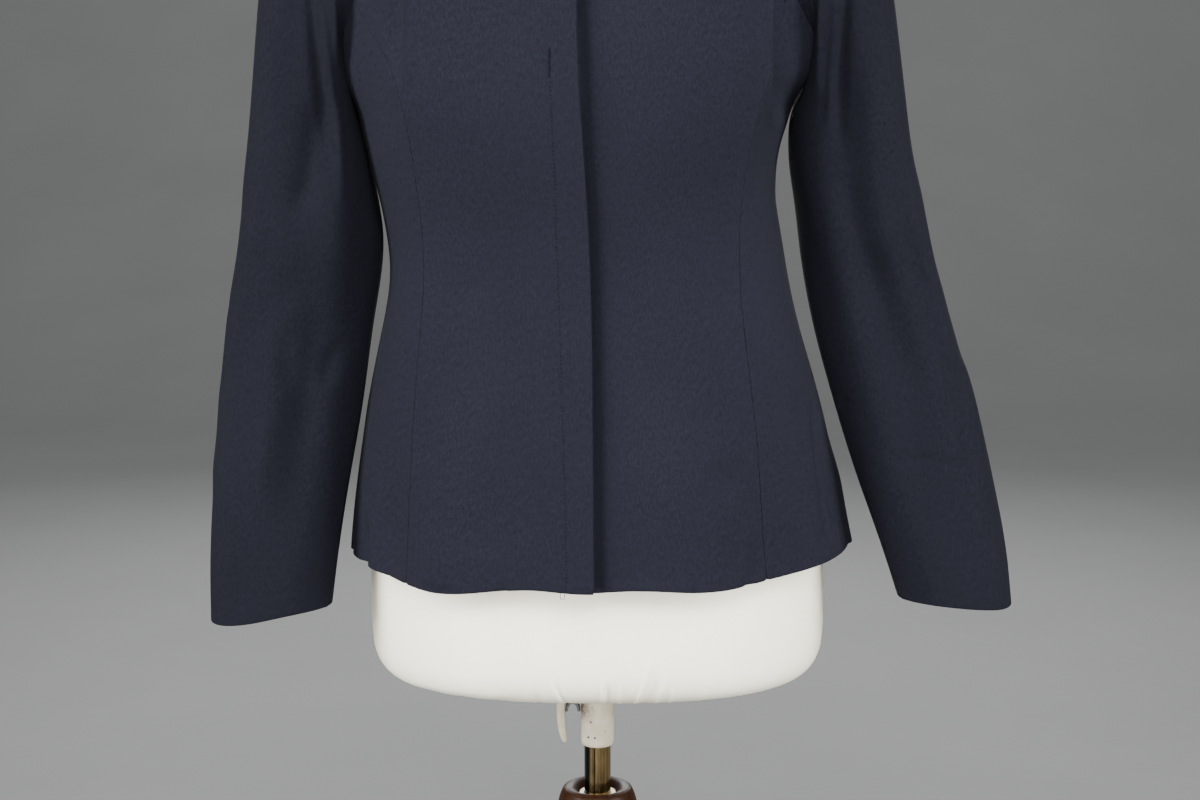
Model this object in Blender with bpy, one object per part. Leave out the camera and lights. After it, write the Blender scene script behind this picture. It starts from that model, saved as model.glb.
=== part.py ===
"""A fitted zip-front blazer worn by a limbless dress form on a wooden tripod stand.

Metres, +Z up. The origin is on the floor under the middle of the stand; the fronts face -Y.
"Right" and "left" are the wearer's: the right side is towards -X, the left side towards +X.
Angles go round the body's axis: 0 at the centre front, +90 degrees at the left side seam,
180 at the centre back, and negative on the wearer's right.
"""

import math

import bmesh
import bpy
import numpy as np

# ---------------------------------------------------------------- driving sizes
CLOTH = 0.0018            # wool suiting with its fusing: one wall of the garment
SEAM_GAP = 0.0003         # between two pieces that are sewn together
HEM_Z = 0.600             # height of the jacket's hem above the floor
BREAK_Z = 1.055           # where the right front starts to turn over as a lapel
NECK_POINT_Z = 1.249      # top of the shoulder seam, at the side of the neck
NAPE_Z = 1.232            # neckline at the centre back
SHOULDER_TIP_Z = 1.203    # outer end of the shoulder seam
LEAN = -0.037             # sideways drift of the torso for each metre of height

FLY_LIFT = 0.0060         # how far the right front stands over the left at its edge
FLY_WIDTH = 0.045         # how far from its edge the right front keeps that lift
FLY_FADE = 0.035          # the width over which it comes down to the body again
BREAK_FADE = 0.075        # and the height over which the lift ends above the lapel's break
UNDERLAP = 0.034          # how far the left front runs on under the right front

ARMHOLE_MIDDLE_Z = 1.094
ARMHOLE_HALF_HEIGHT = 0.109
ARMHOLE_HALF_ANGLE = 25.0
ARMHOLE_ROUNDNESS = 2.3
PANEL_MEET_Z = 1.030      # where the front and back panel seams run into the armhole


def armhole_angle(z):
    """How far the armhole's edge is from the side of the body at a height, in degrees."""
    t = np.clip(np.abs(np.asarray(z) - ARMHOLE_MIDDLE_Z) / ARMHOLE_HALF_HEIGHT, 0, 1)
    return ARMHOLE_HALF_ANGLE * (1 - t**ARMHOLE_ROUNDNESS) ** (1 / ARMHOLE_ROUNDNESS)


MEET_ANGLE = float(armhole_angle(PANEL_MEET_Z))


# ---------------------------------------------------------------- tables
def table(columns, rows):
    """A table of numbers with named columns; its first column is what it is read by."""
    data = np.array(rows, float)
    return {name: data[:, i] for i, name in enumerate(columns.split())}


def read(tab, column, at):
    """The smooth value of a column at a place along the table's first column."""
    key = next(iter(tab))
    x, y = tab[key], tab[column]
    slope = np.gradient(y, x)
    at = np.clip(np.asarray(at, float), x[0], x[-1])
    i = np.clip(np.searchsorted(x, at, side="right") - 1, 0, len(x) - 2)
    step = x[i + 1] - x[i]
    t = (at - x[i]) / step
    return (
        (2 * t**3 - 3 * t**2 + 1) * y[i]
        + (t**3 - 2 * t**2 + t) * step * slope[i]
        + (3 * t**2 - 2 * t**3) * y[i + 1]
        + (t**3 - t**2) * step * slope[i + 1]
    )


# Plan sections of the outside of the jacket's body: half widths, depths, how square, and set-back.
BODY = table("z right left front back square back_shift", [
    (0.590, 0.2000, 0.2050, 0.1395, 0.1440, 2.25, 0.000),
    (0.640, 0.1938, 0.1960, 0.1345, 0.1390, 2.25, 0.000),
    (0.700, 0.1835, 0.1865, 0.1275, 0.1310, 2.30, 0.000),
    (0.760, 0.1705, 0.1725, 0.1200, 0.1160, 2.35, 0.000),
    (0.800, 0.1592, 0.1603, 0.1150, 0.1010, 2.40, 0.000),
    (0.835, 0.1530, 0.1560, 0.1125, 0.0930, 2.45, 0.000),
    (0.870, 0.1590, 0.1515, 0.1145, 0.0930, 2.50, 0.000),
    (0.905, 0.1663, 0.1490, 0.1210, 0.0980, 2.55, 0.000),
    (0.935, 0.1715, 0.1570, 0.1265, 0.1020, 2.60, 0.000),
    (0.960, 0.1760, 0.1680, 0.1300, 0.1050, 2.60, 0.000),
    (0.985, 0.1792, 0.1775, 0.1320, 0.1070, 2.60, 0.000),
    (1.030, 0.1795, 0.1832, 0.1300, 0.1090, 2.50, 0.000),
    (1.080, 0.1840, 0.1840, 0.1220, 0.1100, 2.40, 0.001),
    (1.130, 0.1860, 0.1860, 0.1100, 0.1060, 2.30, 0.004),
    (1.170, 0.1880, 0.1880, 0.0970, 0.0980, 2.20, 0.008),
    (1.190, 0.1865, 0.1865, 0.0870, 0.0910, 2.20, 0.010),
    (1.203, 0.1780, 0.1780, 0.0790, 0.0850, 2.20, 0.012),
    (1.215, 0.1580, 0.1580, 0.0720, 0.0790, 2.20, 0.013),
    (1.228, 0.1270, 0.1270, 0.0665, 0.0745, 2.20, 0.014),
    (1.239, 0.1010, 0.1010, 0.0620, 0.0710, 2.20, 0.015),
    (1.249, 0.0780, 0.0780, 0.0590, 0.0680, 2.20, 0.016),
])

# Large soft folds of the body: where round it, how wide, how far out, and between which heights.
BODY_FOLDS = [dict(zip("angle width out low high fade".split(), row)) for row in [
    (-44.0, 11.0, 0.0045, 0.560, 0.640, 0.110),
    (-62.0, 8.0, -0.0035, 0.560, 0.625, 0.090),
    (-81.0, 8.0, 0.0030, 0.560, 0.640, 0.100),
    (-22.0, 9.0, -0.0035, 0.560, 0.610, 0.090),
    (31.0, 12.0, 0.0040, 0.560, 0.635, 0.110),
    (52.0, 7.0, -0.0040, 0.560, 0.620, 0.080),
    (78.0, 7.0, 0.0030, 0.560, 0.660, 0.120),
    (96.0, 7.0, -0.0045, 0.560, 0.680, 0.120),
    (116.0, 9.0, 0.0040, 0.560, 0.650, 0.120),
    (-100.0, 8.0, -0.0040, 0.560, 0.650, 0.110),
    (-119.0, 9.0, 0.0040, 0.560, 0.640, 0.110),
    (150.0, 13.0, 0.0045, 0.560, 0.640, 0.120),
    (-152.0, 13.0, 0.0045, 0.560, 0.640, 0.120),
    (-49.0, 6.0, 0.0045, 0.970, 1.060, 0.060),
    (50.0, 6.0, 0.0055, 0.930, 1.060, 0.060),
    (-60.0, 7.0, -0.0040, 0.970, 1.030, 0.050),
    (63.0, 7.0, -0.0060, 0.935, 1.010, 0.045),
]]

# The seam from the armhole down over the bust to the hem, and the one behind the side.
PANEL_SEAMS = table("z front_right front_left rear", [
    (0.590, 55.5, 49.0, 101.0),
    (0.700, 56.0, 50.5, 101.0),
    (0.835, 57.0, 53.0, 101.0),
    (0.900, 53.5, 53.5, 102.0),
    (0.960, 51.5, 53.5, 104.0),
    (0.985, 54.0, 56.0, 106.0),
    (1.008, 60.0, 61.0, 109.0),
    (PANEL_MEET_Z, 90 - MEET_ANGLE, 90 - MEET_ANGLE, 90 + MEET_ANGLE),
])

# The right front's free edge: its place across the front at each height.
FRONT_EDGE = table("z x", [
    (0.590, -0.0025),
    (0.700, -0.0032),
    (0.790, -0.0039),
    (0.843, -0.0054),
    (0.888, -0.0076),
    (0.925, -0.0099),
    (0.990, -0.0143),
    (1.055, -0.0147),
])

# How far the hem dips below its level line, round the body.
HEM_DIPS = table("angle dip", [
    (-180, -0.002), (-120, -0.001), (-95, -0.002), (-80, 0.004), (-66, -0.001), (-45, -0.008),
    (-24, -0.001), (-3, -0.003), (12, -0.001), (32, -0.004), (52, 0.001), (70, 0.006),
    (90, 0.013), (110, 0.008), (145, 0.000), (180, -0.002),
])

# Heights of the rows of points on the fronts and backs; the rows from PANEL_MEET_Z to
# SHOULDER_TIP_Z are also the points where the sleeve is set in.
LOWER_ROWS = [0.600, 0.628, 0.662, 0.700, 0.742, 0.785, 0.825, 0.865, 0.903, 0.938, 0.968, 1.000,
              PANEL_MEET_Z]
ARMHOLE_ROWS = [1.055, 1.085, 1.115, 1.145, 1.170, 1.190]
SHOULDER_ROWS = [1.215, 1.228, 1.239, NECK_POINT_Z]
ROWS = LOWER_ROWS + ARMHOLE_ROWS + [SHOULDER_TIP_Z] + SHOULDER_ROWS


HEM_REACH = 0.1           # the height over which the hem's dips die out
MIDDLE_X = 0.0007         # the body's middle at the hem, beside the stand's axis


# ---------------------------------------------------------------- the body's surface
def axis_x(z):
    """The middle of the body from side to side."""
    return MIDDLE_X + LEAN * (z - HEM_Z)


def unit(vector):
    """The vector with its length made one."""
    return vector / np.linalg.norm(vector)


def soft_step(t):
    """Rises smoothly from 0 to 1 as t does."""
    t = np.clip(t, 0.0, 1.0)
    return t * t * (3 - 2 * t)


def body_point(angle, z):
    """A point on the outside of the jacket's body; angle in degrees."""
    angle, z = np.broadcast_arrays(np.asarray(angle, float), np.asarray(z, float))
    a = np.radians(angle)
    s, c = np.sin(a), np.cos(a)
    width = np.where(s < 0, read(BODY, "right", z), read(BODY, "left", z))
    depth = np.where(c > 0, read(BODY, "front", z), read(BODY, "back", z))
    n = read(BODY, "square", z)
    radius = ((np.abs(s) / width) ** n + (np.abs(c) / depth) ** n) ** (-1 / n)
    for f in BODY_FOLDS:
        turn = (angle - f["angle"] + 180) % 360 - 180
        level = soft_step((z - f["low"]) / f["fade"] + 1) * soft_step((f["high"] - z) / f["fade"] + 1)
        radius = radius + f["out"] * np.exp(-(turn / f["width"]) ** 2) * level
    return np.stack([axis_x(z) + radius * s, read(BODY, "back_shift", z) - radius * c, z], -1)


def body_normal(angle, z):
    """The direction straight out of the jacket's body."""
    step_angle, step_z = 0.6, 0.0012
    z = np.minimum(np.asarray(z, float), NECK_POINT_Z - step_z)
    round_body = body_point(angle + step_angle, z) - body_point(angle - step_angle, z)
    upwards = body_point(angle, z + step_z) - body_point(angle, z - step_z)
    out = np.cross(round_body, upwards)
    return out / np.linalg.norm(out, axis=-1, keepdims=True)


def front_angle(x, z):
    """The angle, on the front of the body, of the point that lies at x."""
    low = np.full(np.shape(x), -89.0)
    high = np.full(np.shape(x), 89.0)
    for _ in range(40):
        middle = (low + high) / 2
        short = body_point(middle, z)[..., 0] < x
        low, high = np.where(short, middle, low), np.where(short, high, middle)
    return (low + high) / 2


def hem_height(angle, z):
    """Rows near the hem follow its dips, and those well above it run level."""
    dip = read(HEM_DIPS, "dip", (np.asarray(angle) + 180) % 360 - 180)
    return z + dip * (1 - soft_step((z - HEM_Z) / HEM_REACH))


def armhole_bottom_z(angle):
    """Height of the lower edge of the armhole at an angle from the centre front."""
    t = np.clip(np.abs(np.abs(angle) - 90) / ARMHOLE_HALF_ANGLE, 0, 1)
    return ARMHOLE_MIDDLE_Z - ARMHOLE_HALF_HEIGHT * (1 - t**ARMHOLE_ROUNDNESS) ** (
        1 / ARMHOLE_ROUNDNESS)


def keep_off_body(grid, clearance):
    """Press what would come too near the jacket's body back to a clearance round it."""
    z = np.clip(grid[..., 2], BODY["z"][0], NECK_POINT_Z)
    shift = read(BODY, "back_shift", z)
    across, along = grid[..., 0] - axis_x(z), grid[..., 1] - shift
    surface = body_point(np.degrees(np.arctan2(across, -along)), z)
    body = np.hypot(surface[..., 0] - axis_x(z), surface[..., 1] - shift)
    here = np.hypot(across, along)
    scale = np.maximum(here, body + clearance) / here
    pressed = grid.copy()
    pressed[..., 0] = axis_x(z) + across * scale
    pressed[..., 1] = shift + along * scale
    return pressed


# ---------------------------------------------------------------- making solids
def material(name, colour, roughness, metallic=0.0):
    made = bpy.data.materials.new(name)
    made.use_nodes = True
    shader = made.node_tree.nodes["Principled BSDF"]
    shader.inputs["Base Color"].default_value = (*colour, 1)
    shader.inputs["Roughness"].default_value = roughness
    shader.inputs["Metallic"].default_value = metallic
    return made


def add_object(name, mesh_builder, finish, sharp_angle=40):
    """A new object whose mesh mesh_builder fills, with its faces turned outwards."""
    shape = bmesh.new()
    mesh_builder(shape)
    bmesh.ops.recalc_face_normals(shape, faces=shape.faces)
    mesh = bpy.data.meshes.new(name)
    shape.to_mesh(mesh)
    shape.free()
    mesh.shade_smooth()
    mesh.set_sharp_from_angle(angle=math.radians(sharp_angle))
    mesh.materials.append(finish)
    made = bpy.data.objects.new(name, mesh)
    bpy.context.scene.collection.objects.link(made)
    return made


def add_wall(name, outer, inner, finish):
    """A closed wall of cloth between two grids of points of the same size."""
    rows, columns = outer.shape[:2]

    def build(shape):
        out = [[shape.verts.new(p) for p in row] for row in outer]
        back = [[shape.verts.new(p) for p in row] for row in inner]
        for i in range(rows - 1):
            for j in range(columns - 1):
                shape.faces.new((out[i][j], out[i][j + 1], out[i + 1][j + 1], out[i + 1][j]))
                shape.faces.new((back[i][j], back[i + 1][j], back[i + 1][j + 1], back[i][j + 1]))
        for i in range(rows - 1):
            for j, flip in ((0, False), (columns - 1, True)):
                rim = (out[i][j], out[i + 1][j], back[i + 1][j], back[i][j])
                shape.faces.new(rim[::-1] if flip else rim)
        for j in range(columns - 1):
            for i, flip in ((0, True), (rows - 1, False)):
                rim = (out[i][j], out[i][j + 1], back[i][j + 1], back[i][j])
                shape.faces.new(rim[::-1] if flip else rim)

    return add_object(name, build, finish)


def add_rings(name, rings, finish, sharp_angle=40):
    """A closed solid skinned over rings of points, with a flat cap at each end."""

    def build(shape):
        loops = [[shape.verts.new(p) for p in ring] for ring in rings]
        count = len(loops[0])
        for low, high in zip(loops, loops[1:]):
            for j in range(count):
                k = (j + 1) % count
                shape.faces.new((low[j], low[k], high[k], high[j]))
        shape.faces.new(loops[0][::-1])
        shape.faces.new(loops[-1])

    return add_object(name, build, finish, sharp_angle)


def grid_normals(grid):
    """Directions square to a grid of points, from its own rows and columns."""
    normal = np.cross(np.gradient(grid, axis=1), np.gradient(grid, axis=0))
    return normal / np.linalg.norm(normal, axis=-1, keepdims=True)


def add_wall_about(name, middle, finish, outside):
    """A wall half to each side of a grid of points; outside is a direction that its face looks in."""
    normal = grid_normals(middle)
    if (normal * outside).sum() < 0:
        normal = -normal
    return add_wall(name, middle + normal * CLOTH / 2, middle - normal * CLOTH / 2, finish)


# ---------------------------------------------------------------- body panels
def panel_walls(angles, heights, lift=0.0):
    """Outer and inner points of a body panel, with half a seam's gap left along its two sides."""
    outer = body_point(angles, heights)
    normal = body_normal(angles, heights)
    outer = outer + normal * np.asarray(lift)[..., None]
    for column, inward in ((0, 1), (-1, -2)):
        along = outer[:, inward] - outer[:, column]
        along = along / np.linalg.norm(along, axis=-1, keepdims=True)
        outer[:, column] += along * SEAM_GAP / 2
    return outer, outer - normal * CLOTH


def spread(start, end, shares):
    """Values between start and end at the given shares; start and end may be columns of rows."""
    return np.asarray(start)[:, None] * (1 - shares) + np.asarray(end)[:, None] * shares


def outer_angle(z, side):
    """Where a front panel ends: its seam, then the armhole, then the shoulder seam."""
    column = "front_right" if side < 0 else "front_left"
    seam = read(PANEL_SEAMS, column, z)
    armhole = 90 - armhole_angle(z)
    return side * np.where(z <= PANEL_MEET_Z, seam, np.where(z < SHOULDER_TIP_Z, armhole, 90.0))


def back_outer_angle(z):
    """Where a back panel ends, measured the same way."""
    armhole = 90 + armhole_angle(z)
    return np.where(z <= PANEL_MEET_Z, read(PANEL_SEAMS, "rear", z),
                    np.where(z < SHOULDER_TIP_Z, armhole, 90.0))


# The line on which each front turns over: from the break of the lapel to the side of the neck.
ROLL_LINES = {
    -1: table("z x", [(BREAK_Z, -0.0147), (NECK_POINT_Z, -0.0930)]),
    1: table("z x", [(PANEL_MEET_Z, -0.0487), (NECK_POINT_Z, 0.0470)]),
}


def roll_x(z, side):
    line = ROLL_LINES[side]
    return np.interp(z, line["z"], line["x"])


def inner_x(z, side):
    """The free edge of a front: its fly edge below the break, and its roll line above."""
    edge = read(FRONT_EDGE, "x", z) - (UNDERLAP if side > 0 else 0.0)
    return np.where(z > ROLL_LINES[side]["z"][0], roll_x(z, side), edge)


def fly_lift(x, z):
    """How far the right front stands off the body over the zip and the left front."""
    from_edge = read(FRONT_EDGE, "x", z) - x
    return FLY_LIFT * (1 - soft_step((from_edge - FLY_WIDTH) / FLY_FADE)) * (
        1 - soft_step((z - BREAK_Z) / BREAK_FADE))


FRONT_SHARES = np.array([0, 0.045, 0.10, 0.17, 0.26, 0.38, 0.52, 0.67, 0.79, 0.89, 1.0])
SIDE_SHARES = np.linspace(0, 1, 8)
BACK_SHARES = np.array([0, 0.14, 0.28, 0.42, 0.56, 0.68, 0.79, 0.90, 1.0])
SIDE_BEND_Z = 0.865       # above this, a side panel's rows bend towards the armhole's curve
BACK_BEND_Z = 1.145       # and above this, a back's rows bend towards the neckline


def front_grid(side):
    z = np.array(ROWS)
    start = front_angle(inner_x(z, side), z)
    angles = spread(start, outer_angle(z, side), FRONT_SHARES)
    heights = hem_height(angles, np.repeat(z[:, None], len(FRONT_SHARES), 1))
    return angles, heights


def add_front(side, finish):
    angles, heights = front_grid(side)
    lift = fly_lift(body_point(angles, heights)[..., 0], heights) if side < 0 else 0.0
    name = "front_right" if side < 0 else "front_left"
    return add_wall(name, *panel_walls(angles, heights, lift), finish)


def add_side_panel(side, finish):
    """The panel under the arm, between the front seam and the rear seam."""
    z = np.array(LOWER_ROWS)
    column = "front_right" if side < 0 else "front_left"
    angles = spread(read(PANEL_SEAMS, column, z), read(PANEL_SEAMS, "rear", z), SIDE_SHARES)
    top = armhole_bottom_z(angles[-1])
    share = np.clip((z[:, None] - SIDE_BEND_Z) / (PANEL_MEET_Z - SIDE_BEND_Z), 0, None)
    heights = np.where(z[:, None] > SIDE_BEND_Z, SIDE_BEND_Z + share * (top - SIDE_BEND_Z),
                       z[:, None])
    angles = side * angles
    heights = hem_height(angles, heights)
    name = "side_right" if side < 0 else "side_left"
    return add_wall(name, *panel_walls(angles, heights), finish)


def back_grid(side):
    z = np.array(ROWS)
    angles = spread(np.full(len(z), 180.0), back_outer_angle(z), BACK_SHARES)
    top = NAPE_Z + (NECK_POINT_Z - NAPE_Z) * BACK_SHARES**2
    share = (z[:, None] - BACK_BEND_Z) / (NECK_POINT_Z - BACK_BEND_Z)
    heights = np.where(z[:, None] > BACK_BEND_Z, BACK_BEND_Z + share * (top - BACK_BEND_Z),
                       z[:, None])
    return side * angles, hem_height(angles * side, heights)


def add_back(side, finish):
    angles, heights = back_grid(side)
    name = "back_right" if side < 0 else "back_left"
    return add_wall(name, *panel_walls(angles, heights), finish)


# ---------------------------------------------------------------- lapels and collar
GORGE_Z = 1.190           # where the collar is joined to the lapel on the roll line
LEAF_MIDDLE = 0.0023      # height of the middle of a lapel or of the collar's leaf over the front
HOOK_REACH = 0.00135      # a fold lies this far outside the edge that it is folded round
HOOK_DEPTH = 0.0014       # and reaches this far in under it
HOOK_DROP = 0.55          # the share of that reach given up where the stand rises from the nape
# A section across the fold of a lapel: distance from the roll line, and height over the front.
FOLD_SECTION = [(-HOOK_REACH, -HOOK_DEPTH), (-HOOK_REACH, 0.0003), (-0.0006, 0.0016),
                (0.0012, LEAF_MIDDLE)]
FOLD_END = FOLD_SECTION[-1][0]
LAPEL_POINT = {-1: (-0.1340, 1.1630), 1: (0.0930, 1.1630)}
LAPEL_BELLY = 0.012       # how far the lapel's edge bows out between the break and its point
LAPEL_ROWS = {-1: [1.0600, 1.085, 1.115, 1.145, 1.170, GORGE_Z - 2 * SEAM_GAP],
              1: [1.0900, 1.115, 1.145, 1.170, GORGE_Z - 2 * SEAM_GAP]}
LAPEL_SHARES = np.array([0.22, 0.48, 0.74, 1.0])


def front_surface(x, z, side):
    """Angle, point and outward direction on a front, the right one's lift included."""
    angle = front_angle(x, z)
    normal = body_normal(angle, z)
    point = body_point(angle, z)
    if side < 0:
        point = point + normal * fly_lift(x, z)[..., None]
    return point, normal


def lapel_edge(share, side):
    """The lapel's outer edge, from the break (0) to its point (1), as x and z."""
    start_z = LAPEL_ROWS[side][0] - 0.004
    start = np.array([roll_x(start_z, side), start_z])
    end = np.array(LAPEL_POINT[side])
    chord = end - start
    across = np.array([chord[1], -chord[0]]) / np.linalg.norm(chord) * side
    bow = LAPEL_BELLY * np.sin(np.pi * share)
    return start + chord * share + across * bow


def add_lapel(side, finish):
    """The turned-over part of a front, folded round the front's edge on the roll line."""
    rows = []
    levels = np.array(LAPEL_ROWS[side])
    for i, z in enumerate(levels):
        roll = np.array([roll_x(z, side), z])
        slope = np.array([roll_x(z + 0.01, side), z + 0.01]) - roll
        square = np.array([slope[1], -slope[0]]) / np.linalg.norm(slope) * side
        start = roll + square * FOLD_END
        ends = [roll, start]
        surface = [front_surface(np.array([x]), np.array([h]), side) for x, h in ends]
        base, out = surface[0][0][0], surface[0][1][0]
        across = unit(surface[1][0][0] - base)
        row = [base + across * a + out * h for a, h in FOLD_SECTION]
        edge = lapel_edge((i + 1) / len(levels), side)
        leaf = start + (edge - start) * LAPEL_SHARES[:, None]
        point, normal = front_surface(leaf[:, 0], leaf[:, 1], side)
        row += list(point + normal * LEAF_MIDDLE)
        rows.append(row)
    name = "lapel_right" if side < 0 else "lapel_left"
    return add_wall_about(name, np.array(rows), finish, np.array([0, -1, 0]))


# Half of the collar from the centre back (0) to the end at the gorge (1): the height of its
# stand, and the outer edge of its leaf as an angle and a height on the body.
COLLAR = table("station stand edge_angle edge_z", [
    (0.00, 0.0300, 180.0, 1.2120),
    (0.22, 0.0290, 141.0, 1.2150),
    (0.45, 0.0240, 100.0, 1.2330),
    (0.55, 0.0210, 84.0, 1.2330),
    (0.70, 0.0140, 72.0, 1.2235),
    (0.85, 0.0060, 65.0, 1.2110),
    (1.00, 0.0000, 60.5, 1.1985),
])
NOTCH_SHARE = 0.5         # how far out along the lapel's top edge the collar is joined to it
NOTCH_FADE = 0.4          # the length of collar over which its end turns into that line
LEAF_SHARES = (0.25, 0.5, 0.75, 1.0)
COLLAR_FOLD_RADIUS = 0.0019
NECK_COLUMNS = (8, 5, 0)  # the columns of a front's top row that the collar is sewn to
STAND_FULL = 0.012        # a stand of this height or more rises straight up
STAND_LEAN = 0.10         # and leans in towards the neck by this share
NECK_MIDDLE_Y = 0.016     # the middle of the neck, behind the stand's axis
LEAF_ARCH = 0.05          # how far the leaf bows up, as a share of its width


def collar_feet(side):
    """The points of the neckline that the collar is sewn to, from the centre back to the gorge."""
    angles, heights = back_grid(side)
    feet = [(angles[-1, j], heights[-1, j]) for j in range(len(BACK_SHARES))]
    angles, heights = front_grid(side)
    feet += [(angles[-1, j], heights[-1, j]) for j in NECK_COLUMNS]
    for i in range(len(ROWS) - 2, -1, -1):
        if ROWS[i] < GORGE_Z:
            break
        feet.append((angles[i, 0], heights[i, 0]))
    return np.array(feet)


def notch_point(side):
    """Where the collar leaves the lapel's top edge, half a seam's gap above it."""
    start = np.array([roll_x(GORGE_Z, side), GORGE_Z])
    x, z = start + (np.array(LAPEL_POINT[side]) - start) * NOTCH_SHARE
    point, out = front_surface(np.array([x]), np.array([z]), side)
    return point[0] + out[0] * LEAF_MIDDLE


def collar_section(foot, along, station, side):
    """Points across the collar at one place: up the stand, over the fold and down the leaf.

    foot is the place's angle and height on the neckline, and along the neckline's direction.
    """
    base, normal = body_point(*foot), body_normal(*foot)
    stand = float(read(COLLAR, "stand", station))
    edge_angle = side * float(read(COLLAR, "edge_angle", station))
    edge_z = float(read(COLLAR, "edge_z", station))
    edge = body_point(edge_angle, edge_z) + body_normal(edge_angle, edge_z) * LEAF_MIDDLE
    across = unit(np.cross(along, normal))
    if across @ (edge - base) < 0:
        across = -across
    to_neck = unit(np.array([axis_x(foot[1]) - base[0], NECK_MIDDLE_Y - base[1], 0]))
    share = min(1.0, stand / STAND_FULL)
    up = unit(normal * (1 - share) + (np.array([0, 0, 1.0]) + to_neck * STAND_LEAN) * share)
    out = unit(across - up * (across @ up))
    foot_gap = HOOK_REACH * (1 - HOOK_DROP * share * max(0.0, -across[2]))
    start = base - across * foot_gap - up * HOOK_DEPTH * (1 - share)
    top = base - across * foot_gap + up * (stand + SEAM_GAP)
    points = [start, start + (top - start) * 0.5, top]
    centre = top + out * COLLAR_FOLD_RADIUS
    for turn in (60, 120):
        t = math.radians(turn)
        points.append(centre + COLLAR_FOLD_RADIUS * (up * math.sin(t) - out * math.cos(t)))
    last = points[-1]
    turned = soft_step((station - 1 + NOTCH_FADE) / NOTCH_FADE)
    to_notch = (notch_point(side) - (last + edge) / 2) * turned
    arch = up * LEAF_ARCH * np.linalg.norm(edge - last) * (1 - turned)
    leaf = np.array([last + (edge - last) * t + arch * 4 * t * (1 - t)
                     + to_notch * (1 - abs(2 * t - 1)) for t in LEAF_SHARES])
    if turned > 0:
        leaf = keep_off_body(leaf, LEAF_MIDDLE + SEAM_GAP)
    return np.concatenate([points, leaf])


def add_collar(finish):
    """Stand and leaf in one piece, from one gorge round the back of the neck to the other."""
    halves = []
    for side in (-1, 1):
        feet = collar_feet(side)
        places = np.array([body_point(a, z) for a, z in feet])
        length = np.concatenate([[0], np.cumsum(np.linalg.norm(np.diff(places, axis=0), axis=1))])
        along = np.gradient(places, axis=0)
        halves.append([collar_section(foot, way, at, side)
                       for foot, way, at in zip(feet, along, length / length[-1])])
    middle = np.array(halves[0][::-1] + halves[1][1:])
    return add_wall_about("collar", middle, finish, np.array([0, 0, 1.0]))


# ---------------------------------------------------------------- sleeves
# Each sleeve below the armhole: inner and outer side across the figure, half its depth, and
# its middle from front to back.
SLEEVES = {
    -1: table("z inner outer half_depth middle_y", [
        (0.560, -0.2085, -0.3082, 0.0310, -0.052),
        (0.610, -0.2025, -0.3085, 0.0350, -0.044),
        (0.660, -0.1955, -0.3062, 0.0390, -0.032),
        (0.720, -0.1855, -0.3032, 0.0430, -0.016),
        (0.775, -0.1785, -0.2995, 0.0470, -0.006),
        (0.845, -0.1680, -0.2870, 0.0520, -0.004),
        (0.885, -0.1700, -0.2800, 0.0560, -0.004),
        (0.910, -0.1732, -0.2762, 0.0585, -0.004),
        (0.940, -0.1785, -0.2718, 0.0620, -0.003),
    ]),
    1: table("z inner outer half_depth middle_y", [
        (0.570, 0.2360, 0.3288, 0.0310, -0.052),
        (0.615, 0.2215, 0.3245, 0.0350, -0.044),
        (0.662, 0.2050, 0.3155, 0.0390, -0.032),
        (0.723, 0.1865, 0.3020, 0.0430, -0.016),
        (0.784, 0.1700, 0.2835, 0.0470, -0.004),
        (0.832, 0.1610, 0.2690, 0.0510, 0.001),
        (0.880, 0.1550, 0.2570, 0.0560, 0.001),
        (0.910, 0.1500, 0.2490, 0.0585, 0.001),
        (0.940, 0.1500, 0.2435, 0.0620, 0.000),
    ]),
}
SLEEVE_SQUARE = 2.2
SLEEVE_SEAM = 0.0005        # the same gap where the two pieces of a sleeve curl together
SLEEVE_CLEARANCE = 0.0026   # between a sleeve and the body that it hangs against
SLEEVE_RINGS = [0.0, 0.045, 0.095, 0.15, 0.21, 0.275, 0.34, 0.41, 0.48, 0.55, 0.62, 0.69, 0.76,
                0.83, 0.90, 0.95, 1.0]
CAP_STEPS = [0.07, 0.19, 0.34, 0.51, 0.69, 0.86]
CAP_TILT = 0.45             # how much the cap leaves the armhole square to the body
CAP_LEAVE = 0.75            # how strongly it keeps that direction
CAP_ARRIVE = 1.1            # and how strongly it runs down into the hanging sleeve
CAP_SETTLE = 0.35           # the share of the cap over which it takes up its clearance
UNDER_SLEEVE = (9, 15)    # the armhole points where the under sleeve's two seams start

# Large folds of a sleeve: place round it (0 outer, 90 front, 180 inner side) at the top and at
# the bottom of the fold, width, height, and between which shares of the sleeve's length.
SLEEVE_FOLDS = {
    -1: [dict(zip("top bottom width out low high fade".split(), row)) for row in [
        (82, 90, 10, -0.0090, -0.60, 0.14, 0.16),
        (116, 118, 12, 0.0060, -0.60, 0.20, 0.16),
        (92, 55, 13, -0.0060, 0.30, 0.44, 0.10),
        (128, 112, 11, -0.0055, 0.40, 0.60, 0.10),
        (75, 70, 16, 0.0040, 0.46, 0.80, 0.12),
    ]],
    1: [dict(zip("top bottom width out low high fade".split(), row)) for row in [
        (84, 104, 10, -0.0100, -0.60, 0.16, 0.16),
        (116, 130, 12, 0.0060, -0.60, 0.20, 0.16),
        (100, 75, 14, -0.0060, 0.28, 0.55, 0.12),
        (36, 44, 10, 0.0045, 0.20, 0.95, 0.15),
    ]],
}
CUFF_DIPS = {-1: 0.007, 1: 0.003}   # how much lower the outer side of the cuff hangs


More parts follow.
